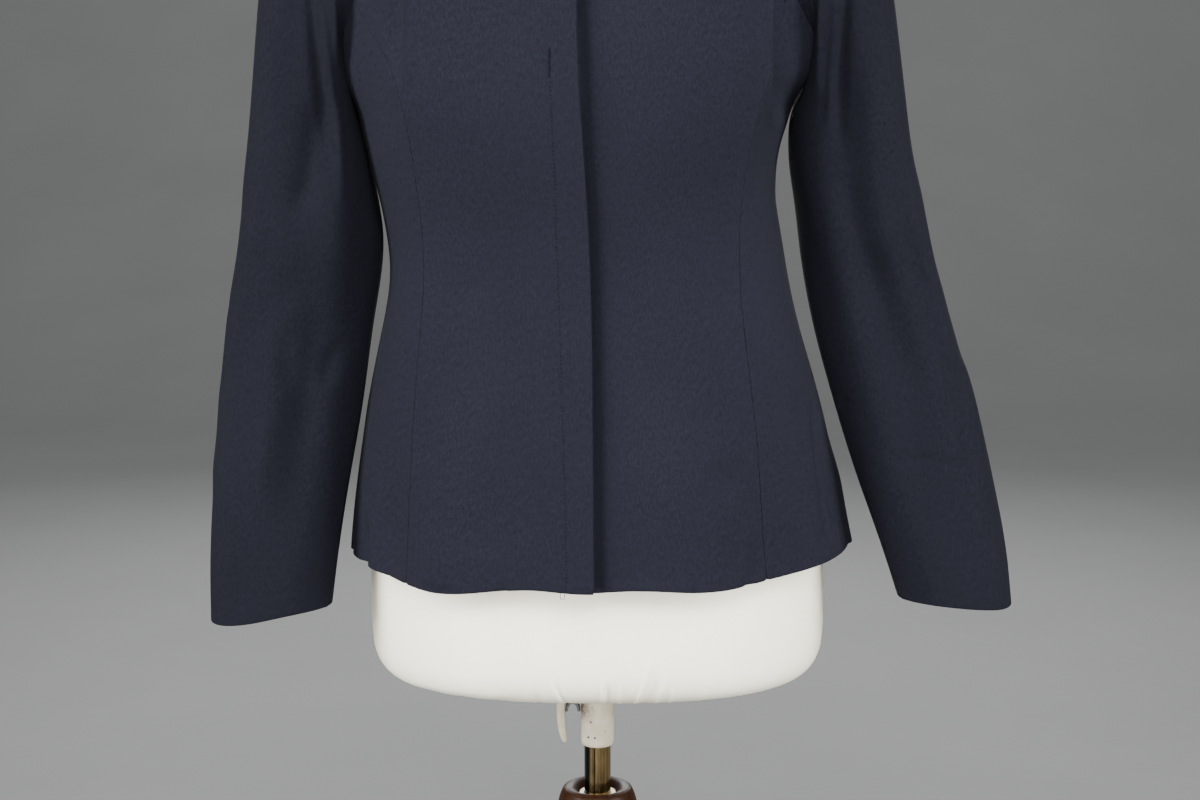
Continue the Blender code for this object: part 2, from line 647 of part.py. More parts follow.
def armhole_loop(side):
    """The points where the sleeve is set in, from the shoulder tip down the front and round."""
    front = [SHOULDER_TIP_Z] + ARMHOLE_ROWS[::-1] + [PANEL_MEET_Z]
    angles = [90.0 - float(armhole_angle(z)) if z < SHOULDER_TIP_Z else 90.0 for z in front]
    heights = list(front)
    across = angles[-1] + (180 - 2 * angles[-1]) * SIDE_SHARES[1:-1]
    angles += list(across)
    heights += list(armhole_bottom_z(across))
    rear = front[:0:-1]
    angles += [90.0 + float(armhole_angle(z)) for z in rear]
    heights += rear
    return side * np.array(angles), np.array(heights)


def sleeve_point(side, turn, z):
    """A point of the hanging sleeve; turn in degrees from its outer side over its front."""
    tab = SLEEVES[side]
    inner, outer = read(tab, "inner", z), read(tab, "outer", z)
    half, depth = np.abs(outer - inner) / 2, read(tab, "half_depth", z)
    a = np.radians(turn)
    c, s = np.cos(a), np.sin(a)
    radius = ((np.abs(c) / half) ** SLEEVE_SQUARE + (np.abs(s) / depth) ** SLEEVE_SQUARE) ** (
        -1 / SLEEVE_SQUARE)
    return np.stack([(inner + outer) / 2 + side * radius * c,
                     read(tab, "middle_y", z) - radius * s, z + 0 * radius], -1)


def sleeve_grid(side):
    """Rings of points down the sleeve: the cap, then the hanging tube."""
    angles, heights = armhole_loop(side)
    start = body_point(angles, heights)
    out = body_normal(angles, heights)
    # Half a seam's gap into the hole, and the wall's own thickness beyond that.
    loop_centre = start.mean(0)
    ahead = np.roll(start, -1, 0) - np.roll(start, 1, 0)
    into = np.cross(ahead, out)
    into /= np.linalg.norm(into, axis=-1, keepdims=True)
    into *= np.sign(((loop_centre - start) * into).sum(-1, keepdims=True))
    start = start + into * SEAM_GAP
    length = np.linalg.norm(np.roll(start, -1, 0) - start, axis=-1)
    bottom = int(np.argmin(heights))
    so_far = np.concatenate([[0], np.cumsum(length)])
    turn = np.where(np.arange(len(length)) <= bottom,
                    180 * so_far[:-1] / so_far[bottom],
                    180 + 180 * (so_far[:-1] - so_far[bottom]) / (so_far[-1] - so_far[bottom]))
    tab = SLEEVES[side]
    top_z, end_z = tab["z"][-1], tab["z"][0]
    tube_top = sleeve_point(side, turn, np.full(len(turn), top_z))
    outwards = np.array([side, 0, 0.0])
    leave = out * CAP_TILT + outwards
    leave /= np.linalg.norm(leave, axis=-1, keepdims=True)
    below = sleeve_point(side, turn, np.full(len(turn), top_z - 0.02))
    arrive = (below - tube_top) / np.linalg.norm(below - tube_top, axis=-1, keepdims=True)
    reach = np.linalg.norm(tube_top - start, axis=-1, keepdims=True)
    rings = [start - out * CLOTH, start]
    shares = [-1.0, -0.9]
    for t in CAP_STEPS:
        rings.append((2 * t**3 - 3 * t**2 + 1) * start
                     + (t**3 - 2 * t**2 + t) * leave * reach * CAP_LEAVE
                     + (3 * t**2 - 2 * t**3) * tube_top
                     + (t**3 - t**2) * arrive * reach * CAP_ARRIVE)
        shares.append(-0.9 + 0.9 * t)
    for share in SLEEVE_RINGS:
        z = top_z + (end_z - top_z) * share
        dip = -CUFF_DIPS[side] * np.cos(np.radians(turn)) * soft_step((share - 0.6) / 0.4)
        ring = sleeve_point(side, turn, np.full(len(turn), z))
        ring[:, 2] += dip
        rings.append(ring)
        shares.append(share)
    grid = np.array(rings)
    return add_sleeve_folds(grid, np.array(shares), turn, side), turn


def ring_normals(grid, side):
    """Outward directions of rings that close on themselves, on a sleeve of the given side."""
    around = np.roll(grid, -1, 1) - np.roll(grid, 1, 1)
    normal = np.cross(around, np.gradient(grid, axis=0)) * side
    return normal / np.linalg.norm(normal, axis=-1, keepdims=True)


def add_sleeve_folds(grid, shares, turn, side):
    """The rings with the sleeve's large folds pushed out or in, and kept off the body."""
    normal = ring_normals(grid, side)
    push = np.zeros(grid.shape[:2])
    for f in SLEEVE_FOLDS[side]:
        t = np.clip((shares - f["low"]) / (f["high"] - f["low"]), 0, 1)
        place = f["top"] + (f["bottom"] - f["top"]) * t
        level = soft_step((shares - f["low"]) / f["fade"] + 1) * soft_step(
            (f["high"] - shares) / f["fade"] + 1)
        away = (turn[None, :] - place[:, None] + 180) % 360 - 180
        push += f["out"] * np.exp(-(away / f["width"]) ** 2) * level[:, None]
    push[:2] = 0
    folded = grid + normal * push[..., None]
    pressed = keep_off_body(folded, SLEEVE_CLEARANCE)
    # The first rings leave the armhole's edge, so they take up the clearance little by little.
    share = soft_step((shares + 0.9) / CAP_SETTLE)[:, None, None]
    return folded + (pressed - folded) * share


def add_sleeve(side, finish):
    """A tailored sleeve of two pieces: the top sleeve and the narrower under sleeve."""
    grid, _ = sleeve_grid(side)
    normal = ring_normals(grid, side)
    normal[0] = normal[1] = ring_normals(np.array([grid[0], grid[1], grid[1] * 2 - grid[0]]), side)[1]
    inner = grid - normal * CLOTH
    count = grid.shape[1]
    first, last = UNDER_SLEEVE
    names = ("right", "left")[side > 0]
    under = np.arange(first, last + 1)
    top = np.arange(last, last + 1 + count - (last - first)) % count
    for name, columns in (("sleeve_under_" + names, under), ("sleeve_top_" + names, top)):
        out, back = grid[:, columns].copy(), inner[:, columns].copy()
        for column, inward in ((0, 1), (-1, -2)):
            along = out[:, inward] - out[:, column]
            along = along / np.linalg.norm(along, axis=-1, keepdims=True) * SLEEVE_SEAM / 2
            out[:, column] += along
            back[:, column] += along
        add_wall(name, out, back, finish)


# ---------------------------------------------------------------- the zip under the fly
ZIP_LOW_Z = 0.608
ZIP_HIGH_Z = 1.046
ZIP_FROM_EDGE = 0.0155    # from the fly's edge to the middle of the zip
TAPE_HALF_WIDTH = 0.0150
CHAIN_HALF_WIDTH = 0.0026
CHAIN_SLOPE = 0.0004      # the width over which the chain stands up from the tape
TAPE_THICKNESS = 0.0006
CHAIN_THICKNESS = 0.0015
ZIP_CLEARANCE = 0.0006    # over the left front's cloth
# The slider with its pull: heights past the tape's top end, half widths, and under and upper side.
SLIDER = [(-0.0260, 0.0024, 0.0026, 0.0033), (0.0004, 0.0024, 0.0026, 0.0033),
          (0.0006, 0.0042, 0.0008, 0.0033), (0.0090, 0.0034, 0.0008, 0.0033)]


def zip_frame(z):
    """The middle line of the zip on the left front, and the direction out of the body there."""
    angle = front_angle(read(FRONT_EDGE, "x", z) - ZIP_FROM_EDGE, z)
    return body_point(angle, z), body_normal(angle, z)


def add_zip(tape_finish, slider_finish):
    """The tape with its closed chain, and the slider at its top end."""
    z = np.array([ZIP_LOW_Z] + [v for v in LOWER_ROWS if ZIP_LOW_Z < v < ZIP_HIGH_Z] + [ZIP_HIGH_Z])
    profile = [(-TAPE_HALF_WIDTH, TAPE_THICKNESS), (-TAPE_HALF_WIDTH / 2, TAPE_THICKNESS),
               (-CHAIN_HALF_WIDTH - CHAIN_SLOPE, TAPE_THICKNESS), (-CHAIN_HALF_WIDTH, CHAIN_THICKNESS),
               (CHAIN_HALF_WIDTH, CHAIN_THICKNESS), (CHAIN_HALF_WIDTH + CHAIN_SLOPE, TAPE_THICKNESS),
               (TAPE_HALF_WIDTH / 2, TAPE_THICKNESS), (TAPE_HALF_WIDTH, TAPE_THICKNESS)]
    middle_x = read(FRONT_EDGE, "x", z) - ZIP_FROM_EDGE
    outer, inner = [], []
    for across, thick in profile:
        angle = front_angle(middle_x + across, z)
        base, out = body_point(angle, z), body_normal(angle, z)
        inner.append(base + out * ZIP_CLEARANCE)
        outer.append(base + out * (ZIP_CLEARANCE + thick))
    add_wall("zip_tape", np.stack(outer, 1), np.stack(inner, 1), tape_finish)

    # The slider is parked at the top end, with its pull lying down flat over the chain.
    def build(shape):
        past, halves, lows, highs = np.array(SLIDER).T
        base, out = zip_frame(ZIP_HIGH_Z + past)
        left = np.cross(out, np.array([0, 0, 1.0]))
        left /= -np.linalg.norm(left, axis=-1, keepdims=True)
        loops = []
        for i, half in enumerate(halves):
            corners = [(-half, lows[i]), (half, lows[i]), (half, highs[i]), (-half, highs[i])]
            loops.append([shape.verts.new(base[i] + left[i] * a + out[i] * h) for a, h in corners])
        for low, high in zip(loops, loops[1:]):
            for j in range(4):
                k = (j + 1) % 4
                shape.faces.new((low[j], low[k], high[k], high[j]))
        shape.faces.new(loops[0][::-1])
        shape.faces.new(loops[-1])

    add_object("zip_slider", build, slider_finish)


# ---------------------------------------------------------------- the dress form
FORM_SIDES = 32
FORM_SQUARE = 2.25
FORM = table("z half front back", [
    (0.500, 0.1840, 0.1170, 0.1270),
    (0.560, 0.1850, 0.1180, 0.1280),
    (0.610, 0.1835, 0.1175, 0.1270),
    (0.660, 0.1790, 0.1150, 0.1210),
    (0.720, 0.1670, 0.1090, 0.1100),
    (0.780, 0.1500, 0.1010, 0.0930),
    (0.830, 0.1410, 0.0970, 0.0820),
    (0.880, 0.1420, 0.1010, 0.0830),
    (0.930, 0.1450, 0.1110, 0.0900),
    (0.980, 0.1580, 0.1180, 0.0960),
    (1.030, 0.1700, 0.1180, 0.0990),
    (1.080, 0.1740, 0.1120, 0.1010),
    (1.130, 0.1760, 0.1010, 0.0980),
    (1.170, 0.1780, 0.0880, 0.0905),
    (1.190, 0.1730, 0.0800, 0.0850),
    (1.203, 0.1660, 0.0725, 0.0795),
    (1.215, 0.1580, 0.0665, 0.0735),
    (1.249, 0.1580, 0.0550, 0.0640),
])
FORM_ROWS = [0.565, 0.620, 0.680, 0.740, 0.800, 0.860, 0.910, 0.955, 0.995, 1.040, 1.085, 1.130,
             1.160, 1.182, 1.195, 1.203, 1.215, 1.228, 1.239]
FORM_GAP = 0.0038         # between the form and the cloth round it
SHOULDER_GAP = 0.0006     # and under the shoulder seams, where the jacket hangs on it
SHOULDER_SPAN = 5.0       # how far to each side of a shoulder seam it stays so near, in degrees
FORM_FREE = 0.013         # inside the cloth by this much, the form has its own height too
FORM_BASE_Z = 0.4955
FORM_BASE_EDGE = [(0.0000, 0.0320), (0.0030, 0.0180), (0.0100, 0.0080), (0.0200, 0.0025),
                  (0.0330, 0.0000)]
NECK = table("z half_x half_y middle_y", [
    (1.2490, 0.0640, 0.0600, 0.0100),
    (1.2620, 0.0600, 0.0570, 0.0090),
    (1.2900, 0.0575, 0.0560, 0.0060),
    (1.3220, 0.0570, 0.0560, 0.0040),
    (1.3290, 0.0545, 0.0535, 0.0040),
    (1.3320, 0.0480, 0.0470, 0.0040),
])
CHANNEL_RADIUS = 0.0143   # the round way up the middle of the form for the socket and pole
CHANNEL_TOP_Z = 0.770


def form_ring(z, inset=0.0):
    """A ring of the form: its own shape, kept inside the cloth that lies on it."""
    angle = np.arange(FORM_SIDES) * 360.0 / FORM_SIDES
    a = np.radians(angle)
    s, c = np.sin(a), np.cos(a)
    depth = np.where(c > 0, read(FORM, "front", z), read(FORM, "back", z))
    width = read(FORM, "half", z)
    n = FORM_SQUARE
    own = ((np.abs(s) / width) ** n + (np.abs(c) / depth) ** n) ** (-1 / n)
    shift = np.array([axis_x(max(z, HEM_Z)) - MIDDLE_X, float(read(BODY, "back_shift", max(z, HEM_Z)))])
    if z > HEM_Z:
        from_seam = np.abs(np.abs((angle + 180) % 360 - 180) - 90)
        near = np.exp(-(from_seam / SHOULDER_SPAN) ** 2)
        gap = FORM_GAP + (SHOULDER_GAP - FORM_GAP) * near
        cloth = body_point(angle, np.full(len(angle), z)) - body_normal(angle, z) * (
            CLOTH + gap)[:, None]
        limit = np.linalg.norm(cloth[:, :2] - shift, axis=1)
        free = np.clip((limit - own) / FORM_FREE, 0, 1)
        own = np.minimum(own, limit)
        level = cloth[:, 2] + (z - cloth[:, 2]) * free
    else:
        level = np.full(len(angle), z)
    own = own - inset
    return np.stack([shift[0] + own * s, shift[1] - own * c, level], -1)


def circle(radius, z, sides, centre=(0.0, 0.0)):
    a = np.arange(sides) * 2 * np.pi / sides
    return np.stack([centre[0] + radius * np.sin(a), centre[1] - radius * np.cos(a),
                     np.full(sides, z)], -1)


def add_form(finish):
    rings = [circle(CHANNEL_RADIUS, CHANNEL_TOP_Z, FORM_SIDES),
             circle(CHANNEL_RADIUS, FORM_BASE_Z, FORM_SIDES)]
    rings += [form_ring(FORM_BASE_Z + up, inset) for up, inset in FORM_BASE_EDGE]
    rings += [form_ring(z) for z in FORM_ROWS]
    a = np.arange(FORM_SIDES) * 2 * np.pi / FORM_SIDES
    for z, half_x, half_y, middle_y in zip(*NECK.values()):
        rings.append(np.stack([axis_x(z) + half_x * np.sin(a), middle_y - half_y * np.cos(a),
                               np.full(FORM_SIDES, z)], -1))
    add_rings("form_torso", rings, finish)


# ---------------------------------------------------------------- the stand
POLE_RADIUS = 0.0110
POLE_LOW_Z = 0.3103
POLE_HIGH_Z = 0.7200
POLE_CLEARANCE = 0.0003
SOCKET_RADIUS = 0.0137
SOCKET_LOW_Z = 0.4335
SOCKET_HIGH_Z = 0.5600
SOCKET_LIP = 0.0016       # rounding of the socket's lower edge
ROUND_SIDES = 24
HUB_RADIUS = 0.0342
HUB_PROFILE = [(0.0260, 0.2860), (0.0312, 0.2895), (0.0338, 0.3000), (HUB_RADIUS, 0.3250),
               (HUB_RADIUS, 0.3600), (0.0338, 0.3790), (0.0318, 0.3895), (0.0285, 0.3960),
               (0.0245, 0.3980), (0.0200, 0.3968), (0.0156, 0.3925), (0.0156, 0.3890)]
RING_RADIUS = 0.0150
RING_LOW_Z = 0.3893
RING_HIGH_Z = 0.3925
LEG_REACH = 0.308         # from the pole's axis to the middle of a foot
LEG_ANGLES = (180.0, 60.0, -60.0)
LEG_SIDES = 10
# A leg's middle line and its thickness: distance out, height, half width, half depth.
LEG = table("along out z half_width half_depth", [
    (0, HUB_RADIUS + SEAM_GAP, 0.3250, 0.0110, 0.0190),
    (1, 0.0600, 0.3290, 0.0110, 0.0180),
    (2, 0.1130, 0.3080, 0.0110, 0.0165),
    (3, 0.1740, 0.2400, 0.0110, 0.0155),
    (4, 0.2210, 0.1500, 0.0110, 0.0145),
    (5, 0.2620, 0.0700, 0.0110, 0.0140),
    (6, 0.2950, 0.0220, 0.0115, 0.0135),
    (7, LEG_REACH, 0.0000, 0.0120, 0.0130),
])


def add_turned_tube(name, profile, finish):
    """A tube turned from a closed profile of radius and height, read up its outside first."""
    rings = [circle(radius, z, ROUND_SIDES) for radius, z in profile]

    def build(shape):
        loops = [[shape.verts.new(p) for p in ring] for ring in rings]
        for low_loop, high_loop in zip(loops, loops[1:] + loops[:1]):
            for j in range(ROUND_SIDES):
                k = (j + 1) % ROUND_SIDES
                shape.faces.new((low_loop[j], low_loop[k], high_loop[k], high_loop[j]))

    return add_object(name, build, finish)


def add_socket(finish):
    """The tube under the form that slides over the pole."""
    hole = POLE_RADIUS + POLE_CLEARANCE
    add_turned_tube("form_socket", [
        (SOCKET_RADIUS - SOCKET_LIP, SOCKET_LOW_Z), (SOCKET_RADIUS, SOCKET_LOW_Z + SOCKET_LIP),
        (SOCKET_RADIUS, SOCKET_HIGH_Z), (hole, SOCKET_HIGH_Z), (hole, SOCKET_LOW_Z),
    ], finish)


def add_hub(finish):
    """The turned block that holds the pole in a blind hole, with the legs round it."""
    hole = POLE_RADIUS + POLE_CLEARANCE
    profile = HUB_PROFILE + [(hole, HUB_PROFILE[-1][1]), (hole, POLE_LOW_Z - POLE_CLEARANCE)]
    add_rings("stand_hub", [circle(radius, z, ROUND_SIDES) for radius, z in profile], finish)


def add_ring(finish):
    """The small washer that lies in the dished top of the hub, round the pole."""
    hole = POLE_RADIUS + POLE_CLEARANCE
    add_turned_tube("stand_ring", [(RING_RADIUS, RING_LOW_Z), (RING_RADIUS, RING_HIGH_Z),
                                   (hole, RING_HIGH_Z), (hole, RING_LOW_Z)], finish)


def add_leg(number, azimuth, finish):
    """A curved leg whose end stands flat on the floor and whose root fits the round hub."""
    along = np.linspace(0, 7, 12)
    out, z = read(LEG, "out", along), read(LEG, "z", along)
    out[-1], z[-1] = LEG_REACH, 0.0
    slope = np.stack([np.gradient(out), np.gradient(z)], -1)
    slope /= np.linalg.norm(slope, axis=-1, keepdims=True)
    slope[0], slope[-1] = (1, 0), (0, -1)
    a = np.arange(LEG_SIDES) * 2 * np.pi / LEG_SIDES
    turn = math.radians(azimuth)
    radial = np.array([math.cos(turn), math.sin(turn), 0])
    sideways = np.array([-math.sin(turn), math.cos(turn), 0])
    rings = []
    for i in range(len(along)):
        wide = float(read(LEG, "half_width", along[i])) * np.cos(a)
        deep = float(read(LEG, "half_depth", along[i])) * np.sin(a)
        reach = out[i] - slope[i, 1] * deep
        height = z[i] + slope[i, 0] * deep
        rings.append(reach[:, None] * radial + wide[:, None] * sideways
                     + np.stack([0 * deep, 0 * deep, height], -1))
    add_rings(f"stand_leg_{number}", rings, finish)


# The bracket on the side of the socket, and the blade of the lever that hangs from it: the
# place and half sizes of each section, from the top down.
BRACKET_LOW = (-0.0267, -0.0042, 0.4580)
BRACKET_HIGH = (-SOCKET_RADIUS - SEAM_GAP, 0.0042, 0.4710)
LEVER = table("z x half_x half_y", [
    (0.4360, -0.0268, 0.0018, 0.0045),
    (0.4420, -0.0283, 0.0026, 0.0062),
    (0.4520, -0.0300, 0.0031, 0.0072),
    (0.4650, -0.0304, 0.0034, 0.0070),
    (0.4780, -0.0300, 0.0028, 0.0055),
])


def add_bracket(finish):
    """The plain block that carries the clamp's lever."""

    def build(shape):
        bmesh.ops.create_cube(shape, size=1.0)
        for v in shape.verts:
            v.co = [low + (v.co[i] + 0.5) * (high - low)
                    for i, (low, high) in enumerate(zip(BRACKET_LOW, BRACKET_HIGH))]

    add_object("clamp_bracket", build, finish)


def add_lever(finish):
    """The clamp's lever: a flat blade that hangs beside the socket."""
    corners = [(-1, -1), (0, -1.25), (1, -1), (1, 1), (0, 1.25), (-1, 1)]
    rings = []
    for z, x, half_x, half_y in zip(*LEVER.values()):
        rings.append(np.array([(x + half_x * a, half_y * b, z) for a, b in corners]))
    add_rings("clamp_lever", rings, finish)


# ---------------------------------------------------------------- put together
def build_all():
    for old in list(bpy.data.objects):
        bpy.data.objects.remove(old)
    navy = material("navy_wool", (0.030, 0.034, 0.055), 0.85)
    tape = material("navy_tape", (0.016, 0.018, 0.028), 0.80)
    jersey = material("cream_jersey", (0.72, 0.70, 0.64), 0.90)
    enamel = material("cream_enamel", (0.66, 0.62, 0.54), 0.35)
    steel = material("polished_steel", (0.62, 0.58, 0.50), 0.18, 1.0)
    wood = material("dark_wood", (0.070, 0.030, 0.014), 0.35)
    for side in (-1, 1):
        add_front(side, navy)
        add_side_panel(side, navy)
        add_back(side, navy)
        add_lapel(side, navy)
        add_sleeve(side, navy)
    add_collar(navy)
    add_zip(tape, steel)
    add_form(jersey)
    add_socket(enamel)
    add_bracket(steel)
    add_lever(enamel)
    add_rings("pole", [circle(POLE_RADIUS, POLE_LOW_Z, ROUND_SIDES),
                       circle(POLE_RADIUS, POLE_HIGH_Z, ROUND_SIDES)], steel)
    add_hub(wood)
    add_ring(enamel)
    for number, azimuth in enumerate(LEG_ANGLES, 1):
        add_leg(number, azimuth, wood)


build_all()
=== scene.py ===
import math

import bmesh
import bpy
import numpy as np
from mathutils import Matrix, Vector
from mathutils.bvhtree import BVHTree


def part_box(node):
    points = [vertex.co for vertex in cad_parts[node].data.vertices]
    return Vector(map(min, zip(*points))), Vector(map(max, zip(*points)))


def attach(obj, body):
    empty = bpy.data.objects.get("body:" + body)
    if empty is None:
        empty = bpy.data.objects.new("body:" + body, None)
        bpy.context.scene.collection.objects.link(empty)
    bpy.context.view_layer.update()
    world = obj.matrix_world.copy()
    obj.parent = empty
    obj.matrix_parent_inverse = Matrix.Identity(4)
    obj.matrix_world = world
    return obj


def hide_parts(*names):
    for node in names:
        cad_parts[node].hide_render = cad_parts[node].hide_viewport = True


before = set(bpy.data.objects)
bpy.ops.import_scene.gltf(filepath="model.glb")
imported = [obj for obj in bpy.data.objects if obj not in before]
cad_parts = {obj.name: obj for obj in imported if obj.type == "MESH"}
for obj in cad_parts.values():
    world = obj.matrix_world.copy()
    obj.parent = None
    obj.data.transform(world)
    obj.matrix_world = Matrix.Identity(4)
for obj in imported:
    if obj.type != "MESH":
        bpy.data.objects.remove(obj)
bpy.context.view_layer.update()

# ---------------------------------------------------------------- camera, floor and light
# A plain pale room with a coved back wall. The camera stands 1.73 m in front of the stand's
# axis, above the blazer's waist, and looks down. Tall soft lights stand at both sides and behind,
# a wide one hangs above the front over a low one, and the last washes the wall.
LENS_MM = 66.0
CAMERA_PLACE = (0.002, -1.7343, 1.0196)
CAMERA_PITCH = 9.8         # degrees down
ROOM_COLOUR = (0.070, 0.0725, 0.0712)
ROOM_HALF_WIDTH = 4.2
FLOOR_REACH = 3.6          # from the stand forward, and back to the cove
COVE_RADIUS = 3.2
WALL_TOP = 6.5
AIR_COLOUR = (0.80, 0.82, 0.86, 1)
AIR_STRENGTH = 0.19
WHITE = (1, 1, 1)
LIGHTS = [  # name, place, what it faces, width and height, power and colour
    ("side_light", (-2.0, -1.0, 1.40), (0, -0.05, 0.80), (0.8, 1.5), 150, WHITE),
    ("side_light", (2.0, -1.0, 1.40), (0, -0.05, 0.80), (0.8, 1.5), 128, WHITE),
    ("front_light", (0.0, -2.1, 2.3), (0, -0.1, 0.72), (1.6, 0.8), 118, (1.0, 0.99, 0.96)),
    ("low_light", (0.0, -2.3, 0.75), (0, -0.1, 0.55), (1.8, 0.5), 62, WHITE),
    ("back_light", (-0.6, 2.5, 1.9), (0, 0.05, 0.85), (0.8, 1.5), 85, WHITE),
    ("back_light", (0.6, 2.5, 1.9), (0, 0.05, 0.85), (0.8, 1.5), 85, WHITE),
    ("wall_light", (0.0, 3.6, 5.2), (0, 6.6, 1.0), (7.0, 1.6), 470, WHITE),
]

camera_data = bpy.data.cameras.new("camera")
camera_data.lens = LENS_MM
camera_data.sensor_width = 36.0
camera = bpy.data.objects.new("camera", camera_data)
camera.location = CAMERA_PLACE
camera.rotation_euler = (math.radians(90 - CAMERA_PITCH), 0, 0)
bpy.context.scene.collection.objects.link(camera)
bpy.context.scene.camera = camera


class Nodes:
    """A node tree in the making, with short ways to add nodes and join them."""

    def __init__(self, tree):
        self.tree = tree

    def add(self, kind, **values):
        node = self.tree.nodes.new(kind)
        for key, value in values.items():
            if key in node.inputs:
                node.inputs[key].default_value = value
            else:
                setattr(node, key, value)
        return node

    def join(self, start, end):
        self.tree.links.new(start, end)

    def give(self, term, socket):
        """Sets a socket to a number or a colour, or joins another node's output to it."""
        if isinstance(term, (int, float)):
            socket.default_value = term
        elif isinstance(term, tuple):
            socket.default_value = (*term, 1)
        else:
            self.join(term, socket)

    def sum(self, kind, *terms):
        node = self.add("ShaderNodeMath", operation=kind)
        for socket, term in zip(node.inputs, terms):
            self.give(term, socket)
        return node.outputs[0]

    def ramp(self, source, *stops):
        """A ramp from a value to colours; each stop is a place and a colour."""
        ramp = self.add("ShaderNodeValToRGB")
        elements = ramp.color_ramp.elements
        while len(elements) < len(stops):
            elements.new(0.5)
        for element, (place, colour) in zip(elements, stops):
            element.position = place
            element.color = (*colour, 1)
        self.join(source, ramp.inputs["Fac"])
        return ramp.outputs["Color"]

    def grade(self, source, low, high, start, end):
        """A value carried from one range to another, held inside it."""
        node = self.add("ShaderNodeMapRange", **{"From Min": low, "From Max": high,
                                                 "To Min": start, "To Max": end})
        self.join(source, node.inputs["Value"])
        return node.outputs["Result"]

    def blend(self, mask, under, over):
        """One colour over another where the mask is 1."""
        node = self.add("ShaderNodeMix", data_type="RGBA")
        self.join(mask, node.inputs[0])
        self.give(under, node.inputs[6])
        self.give(over, node.inputs[7])
        return node.outputs[2]

    def place(self, scale=(1, 1, 1)):
        """The place on the object in metres, stretched by scale."""
        solid = self.add("ShaderNodeTexCoord")
        fit = self.add("ShaderNodeMapping", Scale=scale)
        self.join(solid.outputs["Object"], fit.inputs["Vector"])
        return fit.outputs["Vector"]

    def split(self, source):
        """The X and Y of a place."""
        node = self.add("ShaderNodeSeparateXYZ")
        self.join(source, node.inputs[0])
        return node.outputs["X"], node.outputs["Y"]

    def noise(self, source, scale, detail=3.0, roughness=0.6):
        node = self.add("ShaderNodeTexNoise", Detail=detail, Roughness=roughness)
        self.give(scale, node.inputs["Scale"])
        self.join(source, node.inputs["Vector"])
        return node.outputs["Fac"]

    def bump(self, height, strength, distance, under=None):
        node = self.add("ShaderNodeBump", Strength=strength, Distance=distance)
        self.join(height, node.inputs["Height"])
        if under is not None:
            self.join(under, node.inputs["Normal"])
        return node.outputs["Normal"]


class Paint(Nodes):
    """A material, with its Principled shader."""

    def __init__(self, name):
        self.made = bpy.data.materials.new(name)
        self.made.use_nodes = True
        super().__init__(self.made.node_tree)
        self.shader = self.tree.nodes["Principled BSDF"]

    def feed(self, **sources):
        for key, source in sources.items():
            self.join(source, self.shader.inputs[key.replace("_", " ")])

    def set(self, **values):
        for key, value in values.items():
            self.shader.inputs[key.replace("_", " ")].default_value = value


class Group(Nodes):
    """A node group, with inputs of the kinds given and outputs that are numbers."""

    def __init__(self, name, inputs, outputs):
        super().__init__(bpy.data.node_groups.new(name, "ShaderNodeTree"))
        for key, kind in inputs:
            self.tree.interface.new_socket(key, in_out="INPUT", socket_type=kind)
        for key in outputs:
            self.tree.interface.new_socket(key, in_out="OUTPUT", socket_type="NodeSocketFloat")
        self.start = self.add("NodeGroupInput").outputs
        self.end = self.add("NodeGroupOutput").inputs


def add_mesh(name, verts, faces, finish, smooth=True):
    mesh = bpy.data.meshes.new(name)
    mesh.from_pydata([tuple(map(float, v)) for v in verts], [], [tuple(f) for f in faces])
    if smooth:
        mesh.shade_smooth()
    mesh.materials.append(finish)
    made = bpy.data.objects.new(name, mesh)
    bpy.context.scene.collection.objects.link(made)
    return made


room = Paint("pale_room")
mottle = room.noise(room.place(), 2.5)
room.feed(Base_Color=room.ramp(mottle, (0.3, [c * 0.96 for c in ROOM_COLOUR]),
                               (0.7, [c * 1.04 for c in ROOM_COLOUR])),
          Normal=room.bump(room.noise(room.place(), 60.0), 0.05, 0.002))
room.set(Roughness=0.92)
profile = [(-FLOOR_REACH, 0.0), (FLOOR_REACH, 0.0)] + [
    (FLOOR_REACH + COVE_RADIUS * math.sin(math.radians(a)),
     COVE_RADIUS - COVE_RADIUS * math.cos(math.radians(a)))
    for a in range(4, 89, 4)] + [(FLOOR_REACH + COVE_RADIUS, WALL_TOP)]
floor = add_mesh(
    "floor", [(x, y, z) for y, z in profile for x in (-ROOM_HALF_WIDTH, ROOM_HALF_WIDTH)],
    [(2 * i, 2 * i + 1, 2 * i + 3, 2 * i + 2) for i in range(len(profile) - 1)], room.made)

for name, place, target, size, power, colour in LIGHTS:
    data = bpy.data.lights.new(name, "AREA")
    data.shape = "RECTANGLE"
    data.size, data.size_y = size
    data.energy = power
    data.color = colour
    made = bpy.data.objects.new(name, data)
    made.location = place
    made.rotation_euler = (Vector(target) - Vector(place)).to_track_quat("-Z", "Y").to_euler()
    bpy.context.scene.collection.objects.link(made)
world = bpy.data.worlds.new("room_light")
world.use_nodes = True
air = world.node_tree.nodes["Background"].inputs
air["Color"].default_value = AIR_COLOUR
air["Strength"].default_value = AIR_STRENGTH
bpy.context.scene.world = world

